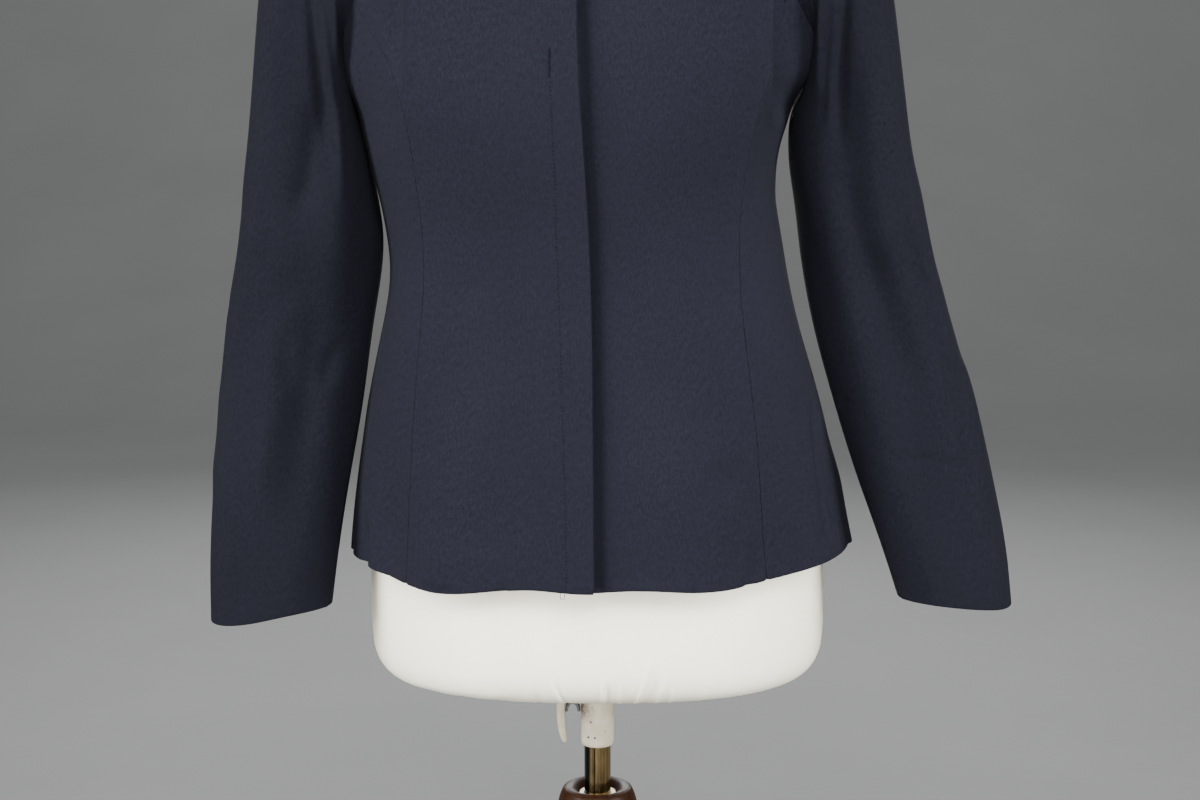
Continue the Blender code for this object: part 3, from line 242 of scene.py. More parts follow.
# ---------------------------------------------------------------- the blazer's body panels
# Fronts, side panels and backs of navy wool suiting: a fine heathered twill. Each panel is a
# thin shell on the form of its cut piece. Plain seams, pressed open, join it to its neighbours,
# and soft folds lie where the bust, the arms and the hips push the cloth.
WOOL_DARK = (0.0038, 0.0040, 0.0066)
WOOL_LIGHT = (0.0104, 0.0108, 0.0167)
LINT_COLOUR = (0.13, 0.14, 0.15)
LINT_RADIUS = 0.013        # in cells of the speck pattern, of which there are 26 a metre
LINT_RARITY = 0.93         # the share of the cells that hold no lint
RIB_SPACING = 0.00095
BODY_REACH = 0.165         # the radius at which the weave is laid round the body
BODY_FLATNESS = 0.47       # how much flatter than round the body is, front to back
CLOTH_DETAIL = 3           # times that each face of a cut piece is quartered
CLOTH_RIM = 0.85           # how sharp its edges stay
HARD_RIM = 0.9             # and those of wood and metal, which turn more than HARD_ANGLE degrees
HARD_ANGLE = 35


def quads_of(node):
    """The node's mesh as a copy, with its points joined and its triangles paired into quads."""
    shape = bmesh.new()
    shape.from_mesh(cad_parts[node].data)
    bmesh.ops.remove_doubles(shape, verts=shape.verts, dist=1e-6)
    bmesh.ops.join_triangles(shape, faces=shape.faces, angle_face_threshold=math.radians(70),
                             angle_shape_threshold=math.radians(80))
    return shape


def fine_shell(name, node, levels, rim_crease, finish, rim_angle=72):
    """A finer copy of a node, smooth along its faces and creased along its rims."""
    shape = quads_of(node)
    crease = shape.edges.layers.float.new("crease_edge")
    for edge in shape.edges:
        if len(edge.link_faces) == 2 and edge.calc_face_angle(0) > math.radians(rim_angle):
            edge[crease] = rim_crease
    mesh = bpy.data.meshes.new(name)
    shape.to_mesh(mesh)
    shape.free()
    made = bpy.data.objects.new(name, mesh)
    bpy.context.scene.collection.objects.link(made)
    bend = made.modifiers.new("finer", "SUBSURF")
    bend.levels = bend.render_levels = levels
    result = bpy.data.meshes.new_from_object(
        made.evaluated_get(bpy.context.evaluated_depsgraph_get()))
    made.modifiers.clear()
    made.data = result
    result.shade_smooth()
    result.materials.clear()
    result.materials.append(finish)
    return made


def places(mesh):
    co = np.empty(len(mesh.vertices) * 3)
    mesh.vertices.foreach_get("co", co)
    return co.reshape(-1, 3)


def smooth_line(points, count):
    """A smooth line through points, evenly spaced by number."""
    points = np.asarray(points, float)
    at = np.linspace(0, len(points) - 1, count)
    i = np.minimum(at.astype(int), len(points) - 2)
    t = (at - i)[:, None]
    slope = np.gradient(points, axis=0)
    return ((2 * t**3 - 3 * t**2 + 1) * points[i] + (t**3 - 2 * t**2 + t) * slope[i]
            + (3 * t**2 - 2 * t**3) * points[i + 1] + (t**3 - t**2) * slope[i + 1])


SEEN_FROM = {"front": ((0, 2), (0, -1, 0)), "back": ((0, 2), (0, 1, 0)),
             "right": ((1, 2), (-1, 0, 0)), "left": ((1, 2), (1, 0, 0))}


def press(piece, creases, centre, flatness):
    """Presses soft folds into a piece of cloth.

    Each crease is a list of points seen from the front, back or a side, in millimetres, then its
    half width, its height over the cloth (below it if negative), the shares of its length over
    which it fades in and out, and the side it is seen from if that isn't the front. The cloth
    moves straight out from the middle line of a flattened tube, so both faces of its wall and
    both sides of a seam go together.
    """
    mesh = piece.data
    co = places(mesh)
    out = (co - centre(co)) * (flatness, 1, 1)
    out /= np.linalg.norm(out, axis=1, keepdims=True)
    push = np.zeros(len(co))
    for points, half_width, height, fade_start, fade_end, *seen in creases:
        axes, look = SEEN_FROM[seen[0] if seen else "front"]
        line = smooth_line(np.array(points) / 1000, 40)
        flat = co[:, axes]
        start, step = line[:-1], np.diff(line, axis=0)
        best = np.full(len(co), 9.0)
        along = np.zeros(len(co))
        near = np.where(((flat > line.min(0) - 3 * half_width / 1000)
                         & (flat < line.max(0) + 3 * half_width / 1000)).all(1))[0]
        for k in range(len(step)):
            length = (step[k] ** 2).sum() + 1e-12
            t = np.clip(((flat[near] - start[k]) @ step[k]) / length, 0, 1)
            away = np.linalg.norm(flat[near] - start[k] - t[:, None] * step[k], axis=1)
            closer = away < best[near]
            best[near[closer]] = away[closer]
            along[near[closer]] = (k + t[closer]) / len(step)
        level = np.clip(along / max(fade_start, 1e-6), 0, 1) * np.clip(
            (1 - along) / max(fade_end, 1e-6), 0, 1)
        level = level * level * (3 - 2 * level)
        facing = np.clip(out @ np.array(look) * 2.2 - 0.1, 0, 1)
        push += height / 1000 * np.exp(-(best * 1000 / half_width) ** 2) * level * facing
    co = co + out * push[:, None]
    mesh.vertices.foreach_set("co", co.ravel())
    mesh.update()


def body_centre(co):
    """The upright middle line of the blazer's body, at the height of each point."""
    return np.stack([0.0007 - 0.037 * (co[:, 2] - 0.6), 0 * co[:, 2], co[:, 2]], 1)


def lay_cloth(piece, centre, radius):
    """UVs in metres for the weave: round a middle line, and up."""
    co = places(piece.data)
    middle = centre(co)
    angle = np.arctan2(co[:, 0] - middle[:, 0], -(co[:, 1] - middle[:, 1]))
    layer = piece.data.uv_layers.new(name="weave")
    loops = np.empty(len(piece.data.loops), int)
    piece.data.loops.foreach_get("vertex_index", loops)
    a = angle[loops]
    starts = np.empty(len(piece.data.polygons), int)
    totals = np.empty(len(piece.data.polygons), int)
    piece.data.polygons.foreach_get("loop_start", starts)
    piece.data.polygons.foreach_get("loop_total", totals)
    first = np.repeat(a[starts], totals)
    a = first + (a - first + np.pi) % (2 * np.pi) - np.pi
    layer.data.foreach_set("uv", np.stack([a * radius, co[loops, 2]], 1).ravel())


def twill_group():
    """The fine twill of wool suiting: a mask of its ribs and fibres, and a height for its bump."""
    group = Group("wool_twill", [("Place", "NodeSocketVector"),
                                 ("Rib Spacing", "NodeSocketFloat")], ["Ribs", "Heather", "Height"])
    sums = group.sum
    x, y = group.split(group.start["Place"])
    # Ribs lean 64 degrees: a sine across them, broken up by the crossing threads.
    turn = sums("DIVIDE", 2 * math.pi, group.start["Rib Spacing"])
    across = sums("ADD", sums("MULTIPLY", x, 0.9), sums("MULTIPLY", y, -0.44))
    ribs = sums("SINE", sums("MULTIPLY", across, turn))
    picks = sums("SINE", sums("MULTIPLY", y, sums("MULTIPLY", turn, 0.83)))
    relief = sums("ADD", sums("MULTIPLY", ribs, 0.34), sums("MULTIPLY", picks, 0.14))
    height = sums("ADD", relief, 0.5)
    group.join(height, group.end["Height"])

    def fibres(scale, stretch, detail):
        fit = group.add("ShaderNodeMapping", Rotation=(0, 0, math.radians(-26)), Scale=stretch)
        group.join(group.start["Place"], fit.inputs["Vector"])
        return group.noise(fit.outputs["Vector"], scale, detail, 0.7)

    fuzz = fibres(900, (1, 1, 1), 2)
    group.join(sums("ADD", sums("MULTIPLY", height, 0.55), sums("MULTIPLY", fuzz, 0.45)),
               group.end["Ribs"])
    group.join(sums("ADD", sums("MULTIPLY", fibres(520, (1, 0.5, 1), 3), 0.75),
                    sums("MULTIPLY", fibres(210, (0.6, 1, 1), 3), 0.25)), group.end["Heather"])
    return group.tree


twill = twill_group()


def suiting(name, tone):
    """Navy wool suiting: a heathered twill with a few pale specks of lint. Its colour is scaled by
    a tone; the sleeves' darker tone is painted shade."""
    wool = Paint(name)
    laid = wool.add("ShaderNodeUVMap", uv_map="weave").outputs["UV"]
    weave = wool.add("ShaderNodeGroup", node_tree=twill)
    weave.inputs["Rib Spacing"].default_value = RIB_SPACING
    wool.join(laid, weave.inputs["Place"])
    cloudy = wool.noise(wool.place(), 7.0, 4.0)
    mix = wool.sum("MULTIPLY_ADD", weave.outputs["Heather"], 1.1,
                   wool.sum("MULTIPLY_ADD", weave.outputs["Ribs"], 0.5,
                            wool.sum("MULTIPLY", cloudy, 0.3)))
    colour = wool.ramp(wool.grade(mix, 0.62, 1.28, 0, 1),
                       (0.0, [c * tone for c in WOOL_DARK]), (1.0, [c * tone for c in WOOL_LIGHT]))
    specks = wool.add("ShaderNodeTexVoronoi", Scale=26.0)
    wool.join(laid, specks.inputs["Vector"])
    chosen = wool.add("ShaderNodeSeparateColor")
    wool.join(specks.outputs["Color"], chosen.inputs[0])
    lint = wool.sum("MULTIPLY", wool.sum("LESS_THAN", specks.outputs["Distance"], LINT_RADIUS),
                    wool.sum("GREATER_THAN", chosen.outputs[0], LINT_RARITY))
    wool.feed(Base_Color=wool.blend(lint, colour, LINT_COLOUR),
              Roughness=wool.grade(weave.outputs["Ribs"], 0, 1, 0.97, 0.84),
              Normal=wool.bump(weave.outputs["Height"], 0.4, 0.00016,
                               wool.bump(weave.outputs["Heather"], 0.35, 0.0004)))
    wool.set(Sheen_Weight=0.004, Sheen_Roughness=0.6, Specular_IOR_Level=0.03)
    return wool


body_wool = suiting("navy_wool_suiting", 1.0)

BODY_CREASES = [
    # The bust: on the wearer's right a soft ridge with a hollow behind it, on the left a sharp
    # fold that overhangs the side.
    ([(-131, 1080), (-134, 1040), (-137, 1010), (-138, 990), (-141, 966)], 3.2, 4.0, 0.3, 0.3),
    ([(-145, 1080), (-146, 1040), (-147, 1005), (-147, 972)], 7.5, -5.5, 0.3, 0.4),
    ([(126, 1080), (127, 1042), (127.5, 998), (129, 960), (131, 935)], 3.8, 4.6, 0.3, 0.25),
    ([(144, 1085), (144, 1042), (143, 1000), (142, 965), (140, 938)], 11.0, -11.0, 0.3, 0.3),
    # Under the arms the cloth stands out a little from the form.
    ([(-40, 1110), (-42, 1040), (-42, 985), (-36, 945)], 30.0, 8.0, 0.3, 0.35, "right"),
    ([(-40, 1110), (-42, 1040), (-42, 985), (-36, 950)], 30.0, 9.0, 0.3, 0.35, "left"),
    # The deep line under the left's sharp fold.
    ([(136, 1080), (135.5, 1042), (135.5, 998), (136, 965), (135, 938)], 5.0, -5.0, 0.3, 0.3),
    # Soft drag lines at the waist, and hollows over the hips.
    ([(-60, 860), (-95, 820), (-140, 826)], 12.0, -1.4, 0.5, 0.5),
    ([(50, 855), (90, 815), (128, 822)], 12.0, -1.3, 0.5, 0.5),
    ([(-50, 745), (-80, 680), (-88, 615)], 16.0, -3.4, 0.35, 0.2),
    ([(96, 700), (96, 655)], 13.0, -2.6, 0.5, 0.5),
    # Flutes of the hem, from one side round to the other.
    ([(-118, 660), (-122, 598)], 13.0, 2.4, 0.6, 0.0),
    ([(-60, 662), (-64, 598)], 12.0, 1.6, 0.6, 0.0),
    ([(-181, 645), (-182.5, 598)], 3.2, -4.4, 0.5, 0.0),
    ([(-168, 700), (-172, 598)], 9.0, 2.6, 0.5, 0.0),
    ([(30, 700), (38, 600)], 17.0, -2.0, 0.5, 0.1),
    ([(122, 640), (114, 596)], 4.0, -3.0, 0.6, 0.0),
    ([(166, 740), (180, 625)], 3.6, -4.8, 0.4, 0.0),
    ([(174, 715), (188, 628)], 3.4, -4.4, 0.4, 0.0),
    ([(-20, 720), (-28, 600)], 9.0, -3.6, 0.5, 0.0, "right"),
    ([(25, 690), (32, 600)], 12.0, 3.0, 0.5, 0.0, "right"),
    ([(-35, 905), (4, 850), (30, 815)], 9.0, -2.2, 0.4, 0.4, "right"),
    ([(-18, 700), (-26, 610)], 8.0, 3.2, 0.5, 0.0, "left"),
    ([(28, 720), (36, 600)], 9.0, -3.8, 0.5, 0.0, "left"),
    ([(-30, 900), (2, 855), (34, 812)], 9.0, -2.2, 0.4, 0.4, "left"),
    # The back: folds across the small of it, flutes below, and slack behind each arm.
    ([(-35, 900), (-95, 850), (-150, 862)], 10.0, -4.0, 0.4, 0.4, "back"),
    ([(-25, 835), (-80, 812), (-140, 822)], 9.0, -1.6, 0.4, 0.4, "back"),
    ([(-60, 760), (-66, 598)], 15.0, -4.4, 0.6, 0.0, "back"),
    ([(-112, 740), (-124, 598)], 15.0, 2.6, 0.6, 0.0, "back"),
    ([(-125, 1090), (-118, 1010), (-105, 960)], 11.0, -4.6, 0.3, 0.5, "back"),
    ([(20, 880), (80, 838), (140, 858)], 10.0, -3.6, 0.4, 0.4, "back"),
    ([(30, 925), (70, 905), (118, 918)], 9.0, -1.5, 0.4, 0.4, "back"),
    ([(48, 770), (56, 598)], 17.0, 2.6, 0.6, 0.0, "back"),
    ([(104, 750), (118, 598)], 14.0, -4.6, 0.6, 0.0, "back"),
    ([(120, 1090), (112, 1015), (98, 955)], 11.0, -4.4, 0.3, 0.5, "back"),
]
FLY_CREASES = [  # the topstitching's groove, the lifted edge, and the pull at the bar tack
    ([(-33.9, 977), (-32.7, 941), (-30.8, 905), (-30.3, 868), (-28.3, 816), (-26.2, 742),
      (-24.7, 690), (-23.3, 624), (-23, 603)], 1.6, -0.5, 0.01, 0.0),
    ([(-18, 1090), (-17, 1046), (-12, 930), (-7.6, 845), (-5.3, 700), (-4.6, 598)], 4.0, 0.9,
     0.1, 0.0),
    ([(-34.5, 1003), (-34.4, 977)], 2.4, -1.2, 0.3, 0.3),
    ([(-37, 1080), (-36, 1046), (-34.4, 1000), (-34.3, 977)], 5.0, -1.0, 0.3, 0.5),
]
UNDER_CREASES = [  # the left front sinks back beside the fly's edge, which lifts over it
    ([(-15.0, 1090), (-14.0, 1046), (-9.0, 930), (-4.4, 845), (-1.9, 700), (-0.9, 598)], 4.4, -4.2,
     0.1, 0.0),
]
BODY_CUTS = {  # the flat cut of each: width, length and area
    "front_right": (0.19, 0.72, 0.098), "front_left": (0.22, 0.72, 0.110),
    "side_right": (0.18, 0.44, 0.057), "side_left": (0.18, 0.44, 0.060),
    "back_right": (0.24, 0.70, 0.124), "back_left": (0.24, 0.70, 0.124)}
CORNER = (-0.03, 1.0)      # y and z that bound the upper front corner of a side panel
CORNER_FADE = 0.03
CORNER_MOVE = (-0.006, -0.004, 0.014)   # towards the middle, forward and up
cloth = {}


def seat(piece, body, node=None):
    """Has a piece ride on a body, and stand for a node if it has one."""
    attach(piece, body)
    if node:
        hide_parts(node)


def run_on_corner(panel, side):
    """Runs a side panel's upper front corner on inside the armhole, as its allowance does."""
    co = places(panel.data)
    on = (np.clip((co[:, 2] - CORNER[1]) / CORNER_FADE, 0, 1) ** 2
          * np.clip((CORNER[0] - co[:, 1]) / CORNER_FADE, 0, 1))[:, None]
    move = (CORNER_MOVE[0] * side, *CORNER_MOVE[1:])
    panel.data.vertices.foreach_set("co", (co + on * move).ravel())


def add_cloth(node, creases, centre, flatness, reach, finish, detail=CLOTH_DETAIL):
    """A cut piece: a shell on its node, with its folds pressed in and its weave laid."""
    piece = fine_shell("cloth_" + node, node, detail, CLOTH_RIM, finish.made)
    press(piece, creases, centre, flatness)
    if node.startswith("side"):
        run_on_corner(piece, 1 if node == "side_left" else -1)
    lay_cloth(piece, centre, reach)
    seat(piece, "form", node)
    cloth[node] = piece


for node in BODY_CUTS:
    own_creases = {"front_right": FLY_CREASES, "front_left": UNDER_CREASES}.get(node, [])
    add_cloth(node, BODY_CREASES + own_creases, body_centre, BODY_FLATNESS, BODY_REACH, body_wool)

# ---------------------------------------------------------------- topstitching of the fly
# One line of machine stitching 22 mm in from the right front's edge holds the fly to the front.
# It starts at a worn bar tack, and ends at the hem in a small loop of thread.
THREAD_COLOUR = (0.0046, 0.0048, 0.0078)
TOPSTITCH = [(-33.9, 977.1), (-32.7, 941.2), (-30.8, 904.7), (-30.3, 867.5), (-28.3, 815.7),
             (-26.2, 742.1), (-24.7, 690.5), (-23.3, 623.6), (-23.0, 598.5)]
STITCH_PITCH = 0.0031
STITCH_LENGTH = 0.0019
THREAD_RADIUS = 0.00021
BAR_TACK = (-34.5, 999.8, 978.5, 1.0, 26)     # x, top and bottom z, half width, crossings
LOOP_MIDDLE = (-26.0, 596.4)    # x and z of the loop of thread at the hem
LOOP_REACH = (2.0, 3.0)         # and how far it goes to each side of there

thread = Paint("navy_sewing_thread")
twist = thread.noise(thread.place((1, 1, 0.3)), 2600.0, 2.0)
thread.feed(Base_Color=thread.ramp(twist, (0.3, [c * 0.6 for c in THREAD_COLOUR]),
                                   (0.7, [c * 1.4 for c in THREAD_COLOUR])),
            Normal=thread.bump(twist, 0.4, 0.0001))
thread.set(Roughness=0.6, Specular_IOR_Level=0.05)


def seen_point(piece):
    """A way to find where a piece's face lies, seen from the front: its point and normal."""
    tree = BVHTree.FromObject(piece, bpy.context.evaluated_depsgraph_get())

    def find(x, z):
        hit = tree.ray_cast(Vector((x, -0.6, z)), Vector((0, 1, 0)))
        return (np.array(hit[0]), np.array(hit[1])) if hit[0] is not None else (None, None)
    return find


def strands(name, paths, radius, finish, sides=6):
    """Round threads, each along a path of points, as one mesh with closed ends."""
    verts, faces = [], []
    for path in paths:
        path = np.asarray(path, float)
        along = np.gradient(path, axis=0)
        along /= np.linalg.norm(along, axis=1, keepdims=True)
        base = len(verts)
        side = np.cross(along[0], (0.31, 0.83, 0.46))
        for i, (p, t) in enumerate(zip(path, along)):
            side = side - t * (side @ t)
            side /= np.linalg.norm(side)
            other = np.cross(t, side)
            for j in range(sides):
                a = 2 * math.pi * j / sides
                verts.append(p + radius * (math.cos(a) * side + math.sin(a) * other))
            if i:
                start = base + (i - 1) * sides
                faces += [(start + j, start + (j + 1) % sides, start + sides + (j + 1) % sides,
                           start + sides + j) for j in range(sides)]
        faces.append(list(range(base, base + sides))[::-1])
        faces.append(list(range(len(verts) - sides, len(verts))))
    return add_mesh(name, verts, faces, finish)


def stitches(find, line, pitch, length, sink=0.00012, rise=0.00030):
    """Paths of running stitches along a line of (x, z) points in millimetres."""
    line = smooth_line(np.array(line) / 1000, 200)
    run = np.concatenate([[0], np.cumsum(np.linalg.norm(np.diff(line, axis=0), axis=1))])
    paths = []
    for s in np.arange(0.0004, run[-1] - length, pitch):
        path = []
        for share in (0, 0.25, 0.5, 0.75, 1):
            x = np.interp(s + share * length, run, line[:, 0])
            z = np.interp(s + share * length, run, line[:, 1])
            point, out = find(x, z)
            if point is None:
                break
            path.append(point + out * (rise * math.sin(math.pi * share) - sink))
        if len(path) == 5:
            paths.append(path)
    return paths


find_front = seen_point(cloth["front_right"])
topstitch = strands("topstitch_fly", stitches(find_front, TOPSTITCH, STITCH_PITCH, STITCH_LENGTH),
                    THREAD_RADIUS, thread.made)
x, top, bottom, half, turns = BAR_TACK
zigzag = []
for k in range(turns * 3 + 1):
    z = top + (bottom - top) * k / (turns * 3)
    swing = (0, 1, 0, -1)[(k + 1) % 4] if k % 3 == 0 else (1, -1)[k % 2] * 0.8
    point, out = find_front((x + half * swing) / 1000, z / 1000)
    zigzag.append(point + out * 0.00018)
bar_tack = strands("bar_tack", [zigzag], 0.00022, thread.made)
hem_point = find_front(-0.026, 0.601)[0]
loop = []
for i, a in enumerate(np.linspace(0.25, 2 * math.pi - 0.1, 22)):
    x = LOOP_MIDDLE[0] + LOOP_REACH[0] * math.sin(a) * (1 + 0.2 * math.cos(2 * a))
    z = LOOP_MIDDLE[1] - LOOP_REACH[1] * math.cos(a)
    loop.append((x / 1000, hem_point[1] + 0.0004 + 0.0006 * math.sin(i * 0.7), z / 1000))
thread_loop = strands("thread_loop", [loop], 0.00020, thread.made)
for piece in (topstitch, bar_tack, thread_loop):
    seat(piece, "form")

# ---------------------------------------------------------------- lapels and collar
# The turned-over tops of the fronts, and the collar that joins them round the neck. Their rolls
# stay soft, and their edges are pressed flat.
NECK_CREASES = {
    "lapel_right": [([(-60, 1165), (-80, 1130), (-60, 1090)], 10.0, -0.8, 0.4, 0.4)],
    "lapel_left": [([(30, 1160), (55, 1135), (30, 1100)], 10.0, -0.8, 0.4, 0.4)],
    "collar": [([(-60, 1225), (-20, 1210), (30, 1222)], 9.0, -0.9, 0.4, 0.4, "back")],
}
NECK_REACH = 0.10
for node, creases in NECK_CREASES.items():
    add_cloth(node, creases, body_centre, BODY_FLATNESS, NECK_REACH, body_wool)

# ---------------------------------------------------------------- sleeves
# Two-piece tailored sleeves, set into the armholes and hanging just clear of the body. The arms
# of the form are missing, so the cloth falls in: long hollows run down from the armpit, the
# inner half lies in shade, and the bend of the elbow leaves soft creases.
SLEEVE_PAINTED_SHADE = 0.72         # their colour, as a share of the body's: a painted shade
SLEEVE_REACH = 0.045
SLEEVE_FLATNESS = 0.55
SLEEVE_MIDDLES = {  # z, x and y along the middle of the right sleeve, -1, and the left, 1
    -1: [(0.56, -0.2584, -0.052), (0.66, -0.2509, -0.032), (0.775, -0.239, -0.006),
         (0.885, -0.225, -0.004), (0.94, -0.2252, -0.003), (1.2, -0.2252, -0.003)],
    1: [(0.57, 0.2824, -0.052), (0.662, 0.2603, -0.032), (0.784, 0.2268, -0.004),
        (0.88, 0.206, 0.001), (0.94, 0.1968, 0.0), (1.2, 0.1968, 0.0)],
}
# The sleeves' wool is the body's at a darker tone, as painted shade.
sleeve_wool_painted_shade = suiting("navy_wool_sleeves_painted_shade", SLEEVE_PAINTED_SHADE)


def sleeve_centre(side):
    """The middle line of one sleeve, at the height of each point."""
    rows = np.array(SLEEVE_MIDDLES[side])

    def centre(co):
        return np.stack([np.interp(co[:, 2], rows[:, 0], rows[:, 1]),
                         np.interp(co[:, 2], rows[:, 0], rows[:, 2]), co[:, 2]], 1)
    return centre


SLEEVE_CREASES = {
    "sleeve_top_right": [
        ([(-208, 1090), (-206, 1040), (-203, 999), (-200, 965), (-197, 945), (-195, 905),
          (-195, 868)], 3.2, 3.6, 0.3, 0.3),
        ([(-195, 1090), (-192, 1040), (-189, 990), (-186, 950), (-183, 905), (-183, 870)],
         11.0, 4.5, 0.3, 0.3),
        ([(-214, 1090), (-212, 1040), (-210, 999), (-207, 962), (-204, 930), (-203, 890)],
         5.5, -5.6, 0.3, 0.4),
        ([(-222, 1095), (-220, 1045), (-218, 999), (-216, 950), (-220, 900), (-228, 850)],
         20.0, -2.6, 0.3, 0.3),
        ([(-216, 850), (-222, 790), (-230, 730), (-232, 670), (-234, 610)],
         17.0, -5.6, 0.2, 0.3),
        ([(-211, 968), (-218, 907), (-235, 861)], 10.0, -4.2, 0.3, 0.35),
        ([(-237, 799), (-243, 761), (-238, 730)], 10.0, -4.2, 0.4, 0.4),
        ([(-197, 782), (-208, 752), (-204, 736)], 7.0, -3.2, 0.4, 0.4),
        ([(-263, 880), (-264, 832)], 9.0, 3.0, 0.5, 0.5),
        ([(-252, 735), (-262, 680), (-258, 640)], 11.0, 2.6, 0.5, 0.5),
        ([(-20, 900), (-5, 800), (-18, 720)], 11.0, -4.6, 0.4, 0.4, "right"),
        ([(25, 1000), (18, 900), (28, 820)], 9.0, -4.2, 0.3, 0.4, "right"),
        ([(-12, 700), (-30, 640)], 11.0, 2.2, 0.5, 0.5, "right"),
        ([(40, 860), (10, 815), (-25, 790)], 7.0, -3.4, 0.4, 0.4, "right"),
        ([(-240, 900), (-232, 800), (-246, 730)], 11.0, -4.6, 0.4, 0.4, "back"),
    ],
    "sleeve_under_right": [
        ([(-205, 900), (-212, 800), (-220, 720)], 10.0, -2.2, 0.4, 0.4, "back"),
    ],
    "sleeve_top_left": [
        ([(180, 1090), (179, 1040), (177, 990), (176.5, 967), (176, 945), (173, 930)],
         3.2, 3.6, 0.3, 0.4),
        ([(185.5, 1090), (184.5, 1040), (183.5, 1005), (183, 970), (184, 935), (186, 905)],
         5.0, -5.6, 0.3, 0.5),
        ([(196, 1095), (196, 1045), (196, 990), (198, 940), (204, 890), (214, 850)],
         20.0, -2.4, 0.3, 0.3),
        ([(210, 860), (220, 800), (234, 740), (248, 680), (256, 620)],
         17.0, -5.8, 0.2, 0.3),
        ([(183, 915), (193, 885), (202, 856), (216, 820), (218, 783)],
         11.0, -3.0, 0.3, 0.4),
        ([(236, 906), (253, 837), (263, 812), (274, 767), (287, 743), (298, 690), (302, 619)],
         5.0, 3.4, 0.15, 0.2),
        ([(226, 900), (243, 837), (253, 812), (264, 767), (277, 743), (288, 690), (292, 640)],
         7.0, -2.6, 0.15, 0.3),
        ([(219, 687), (257, 683), (300, 677)], 3.0, -1.6, 0.3, 0.3),
        ([(188, 727), (197, 723)], 4.0, -1.8, 0.5, 0.5),
        ([(-18, 900), (-4, 800), (-20, 720)], 11.0, -4.4, 0.4, 0.4, "left"),
        ([(28, 1000), (20, 900), (30, 820)], 9.0, -4.4, 0.3, 0.4, "left"),
        ([(36, 850), (8, 812), (-22, 785)], 7.0, -3.4, 0.4, 0.4, "left"),
        ([(212, 900), (236, 800), (262, 730)], 11.0, -4.4, 0.4, 0.4, "back"),
    ],
    "sleeve_under_left": [
        ([(178, 900), (200, 800), (226, 720)], 10.0, -2.2, 0.4, 0.4, "back"),
    ],
}
for node, creases in SLEEVE_CREASES.items():
    add_cloth(node, creases, sleeve_centre(-1 if node.endswith("right") else 1), SLEEVE_FLATNESS,
              SLEEVE_REACH, sleeve_wool_painted_shade, CLOTH_DETAIL if "top" in node else 2)

# ---------------------------------------------------------------- the dress form
# A limbless form under a close-fitting cream jersey cover, with painted shade darkening it towards
# both sides. The cover is gathered in under the base, which leaves small slanting puckers there.
# Its neck ends in a flat top.
JERSEY = (0.88, 0.83, 0.68)
JERSEY_SHADE = (0.74, 0.69, 0.55)
JERSEY_SIDE_SHADE = (0.66, 0.615, 0.50)
SIDE_SHADE_SPAN = (0.10, 0.178)    # from how far out to the side the painted shade starts, and where it is full
UNDER_CLOTH = 0.009        # how far the cover is drawn in where the blazer hides it
HIDDEN = (0.63, 1.235)     # the heights between which it does, fading over these lengths
HIDDEN_FADE = (0.05, 0.03)
COVER_REACH = 0.16
WALE = 0.0012              # the width of one column of knitted loops
COURSE = 0.0009            # the height of one row of them
PUCKERS = [  # ridges and hollows near the base, as in BODY_CREASES
    ([(-36, 524), (-31, 508), (-26, 497)], 1.3, 1.5, 0.4, 0.0),
    ([(-32, 524), (-28, 508), (-23, 497)], 1.8, -1.2, 0.4, 0.0),
    ([(-48, 515), (-44, 497)], 2.2, -1.1, 0.6, 0.0),
    ([(4.5, 530), (4.0, 497)], 1.2, 1.4, 0.5, 0.0),
    ([(8.5, 524), (8.0, 497)], 1.8, -1.3, 0.5, 0.0),
    ([(17, 522), (17, 497)], 1.2, 1.2, 0.5, 0.0),
    ([(44, 550), (37, 522), (29, 497)], 1.3, 1.5, 0.5, 0.0),
    ([(50, 536), (43, 512), (36, 497)], 2.2, -1.3, 0.5, 0.0),
    ([(52, 520), (45, 497)], 1.3, 1.5, 0.4, 0.0),
    ([(58, 516), (56, 497)], 1.4, 1.1, 0.4, 0.0),
    ([(-80, 514), (-74, 497)], 2.4, 0.5, 0.5, 0.0),
    ([(84, 512), (78, 497)], 2.2, 0.5, 0.5, 0.0),
]
jersey = Paint("cream_jersey_cover")
laid = jersey.add("ShaderNodeUVMap", uv_map="weave").outputs["UV"]
knit = jersey.split(laid)
wales = jersey.sum("SINE", jersey.sum("MULTIPLY", knit[0], 2 * math.pi / WALE))
courses = jersey.sum("SINE", jersey.sum("MULTIPLY_ADD", knit[1], 2 * math.pi / COURSE,
                                        jersey.sum("MULTIPLY", wales, 1.2)))
loops = jersey.sum("MULTIPLY_ADD", courses, 0.35, wales)
soiled = jersey.noise(jersey.place(), 6.0, 5.0)
across = jersey.split(jersey.place())[0]
# Painted shade: the cover darkens towards both sides.
painted_side_shade = jersey.grade(jersey.sum("ABSOLUTE", across), *SIDE_SHADE_SPAN, 0, 0.85)
clean = jersey.ramp(jersey.sum("MULTIPLY_ADD", loops, 0.05, soiled),
                    (0.30, JERSEY_SHADE), (0.52, JERSEY))
jersey.feed(Base_Color=jersey.blend(painted_side_shade, clean, JERSEY_SIDE_SHADE),
            Normal=jersey.bump(loops, 0.25, 0.00012,
                               jersey.bump(jersey.noise(jersey.place(), 30.0, 4.0), 0.25, 0.0012)))
jersey.set(Roughness=0.92, Sheen_Weight=0.05, Sheen_Roughness=0.5, Specular_IOR_Level=0.2)


def refine(piece, wanted, cuts):
    """Cuts the faces of part of a piece smaller, so that small folds can be pressed there."""
    shape = bmesh.new()
    shape.from_mesh(piece.data)
    edges = [e for e in shape.edges if all(wanted(v.co) for v in e.verts)]
    bmesh.ops.subdivide_edges(shape, edges=edges, cuts=cuts, use_grid_fill=True, smooth=0.6)
    shape.to_mesh(piece.data)
    shape.free()
    piece.data.shade_smooth()


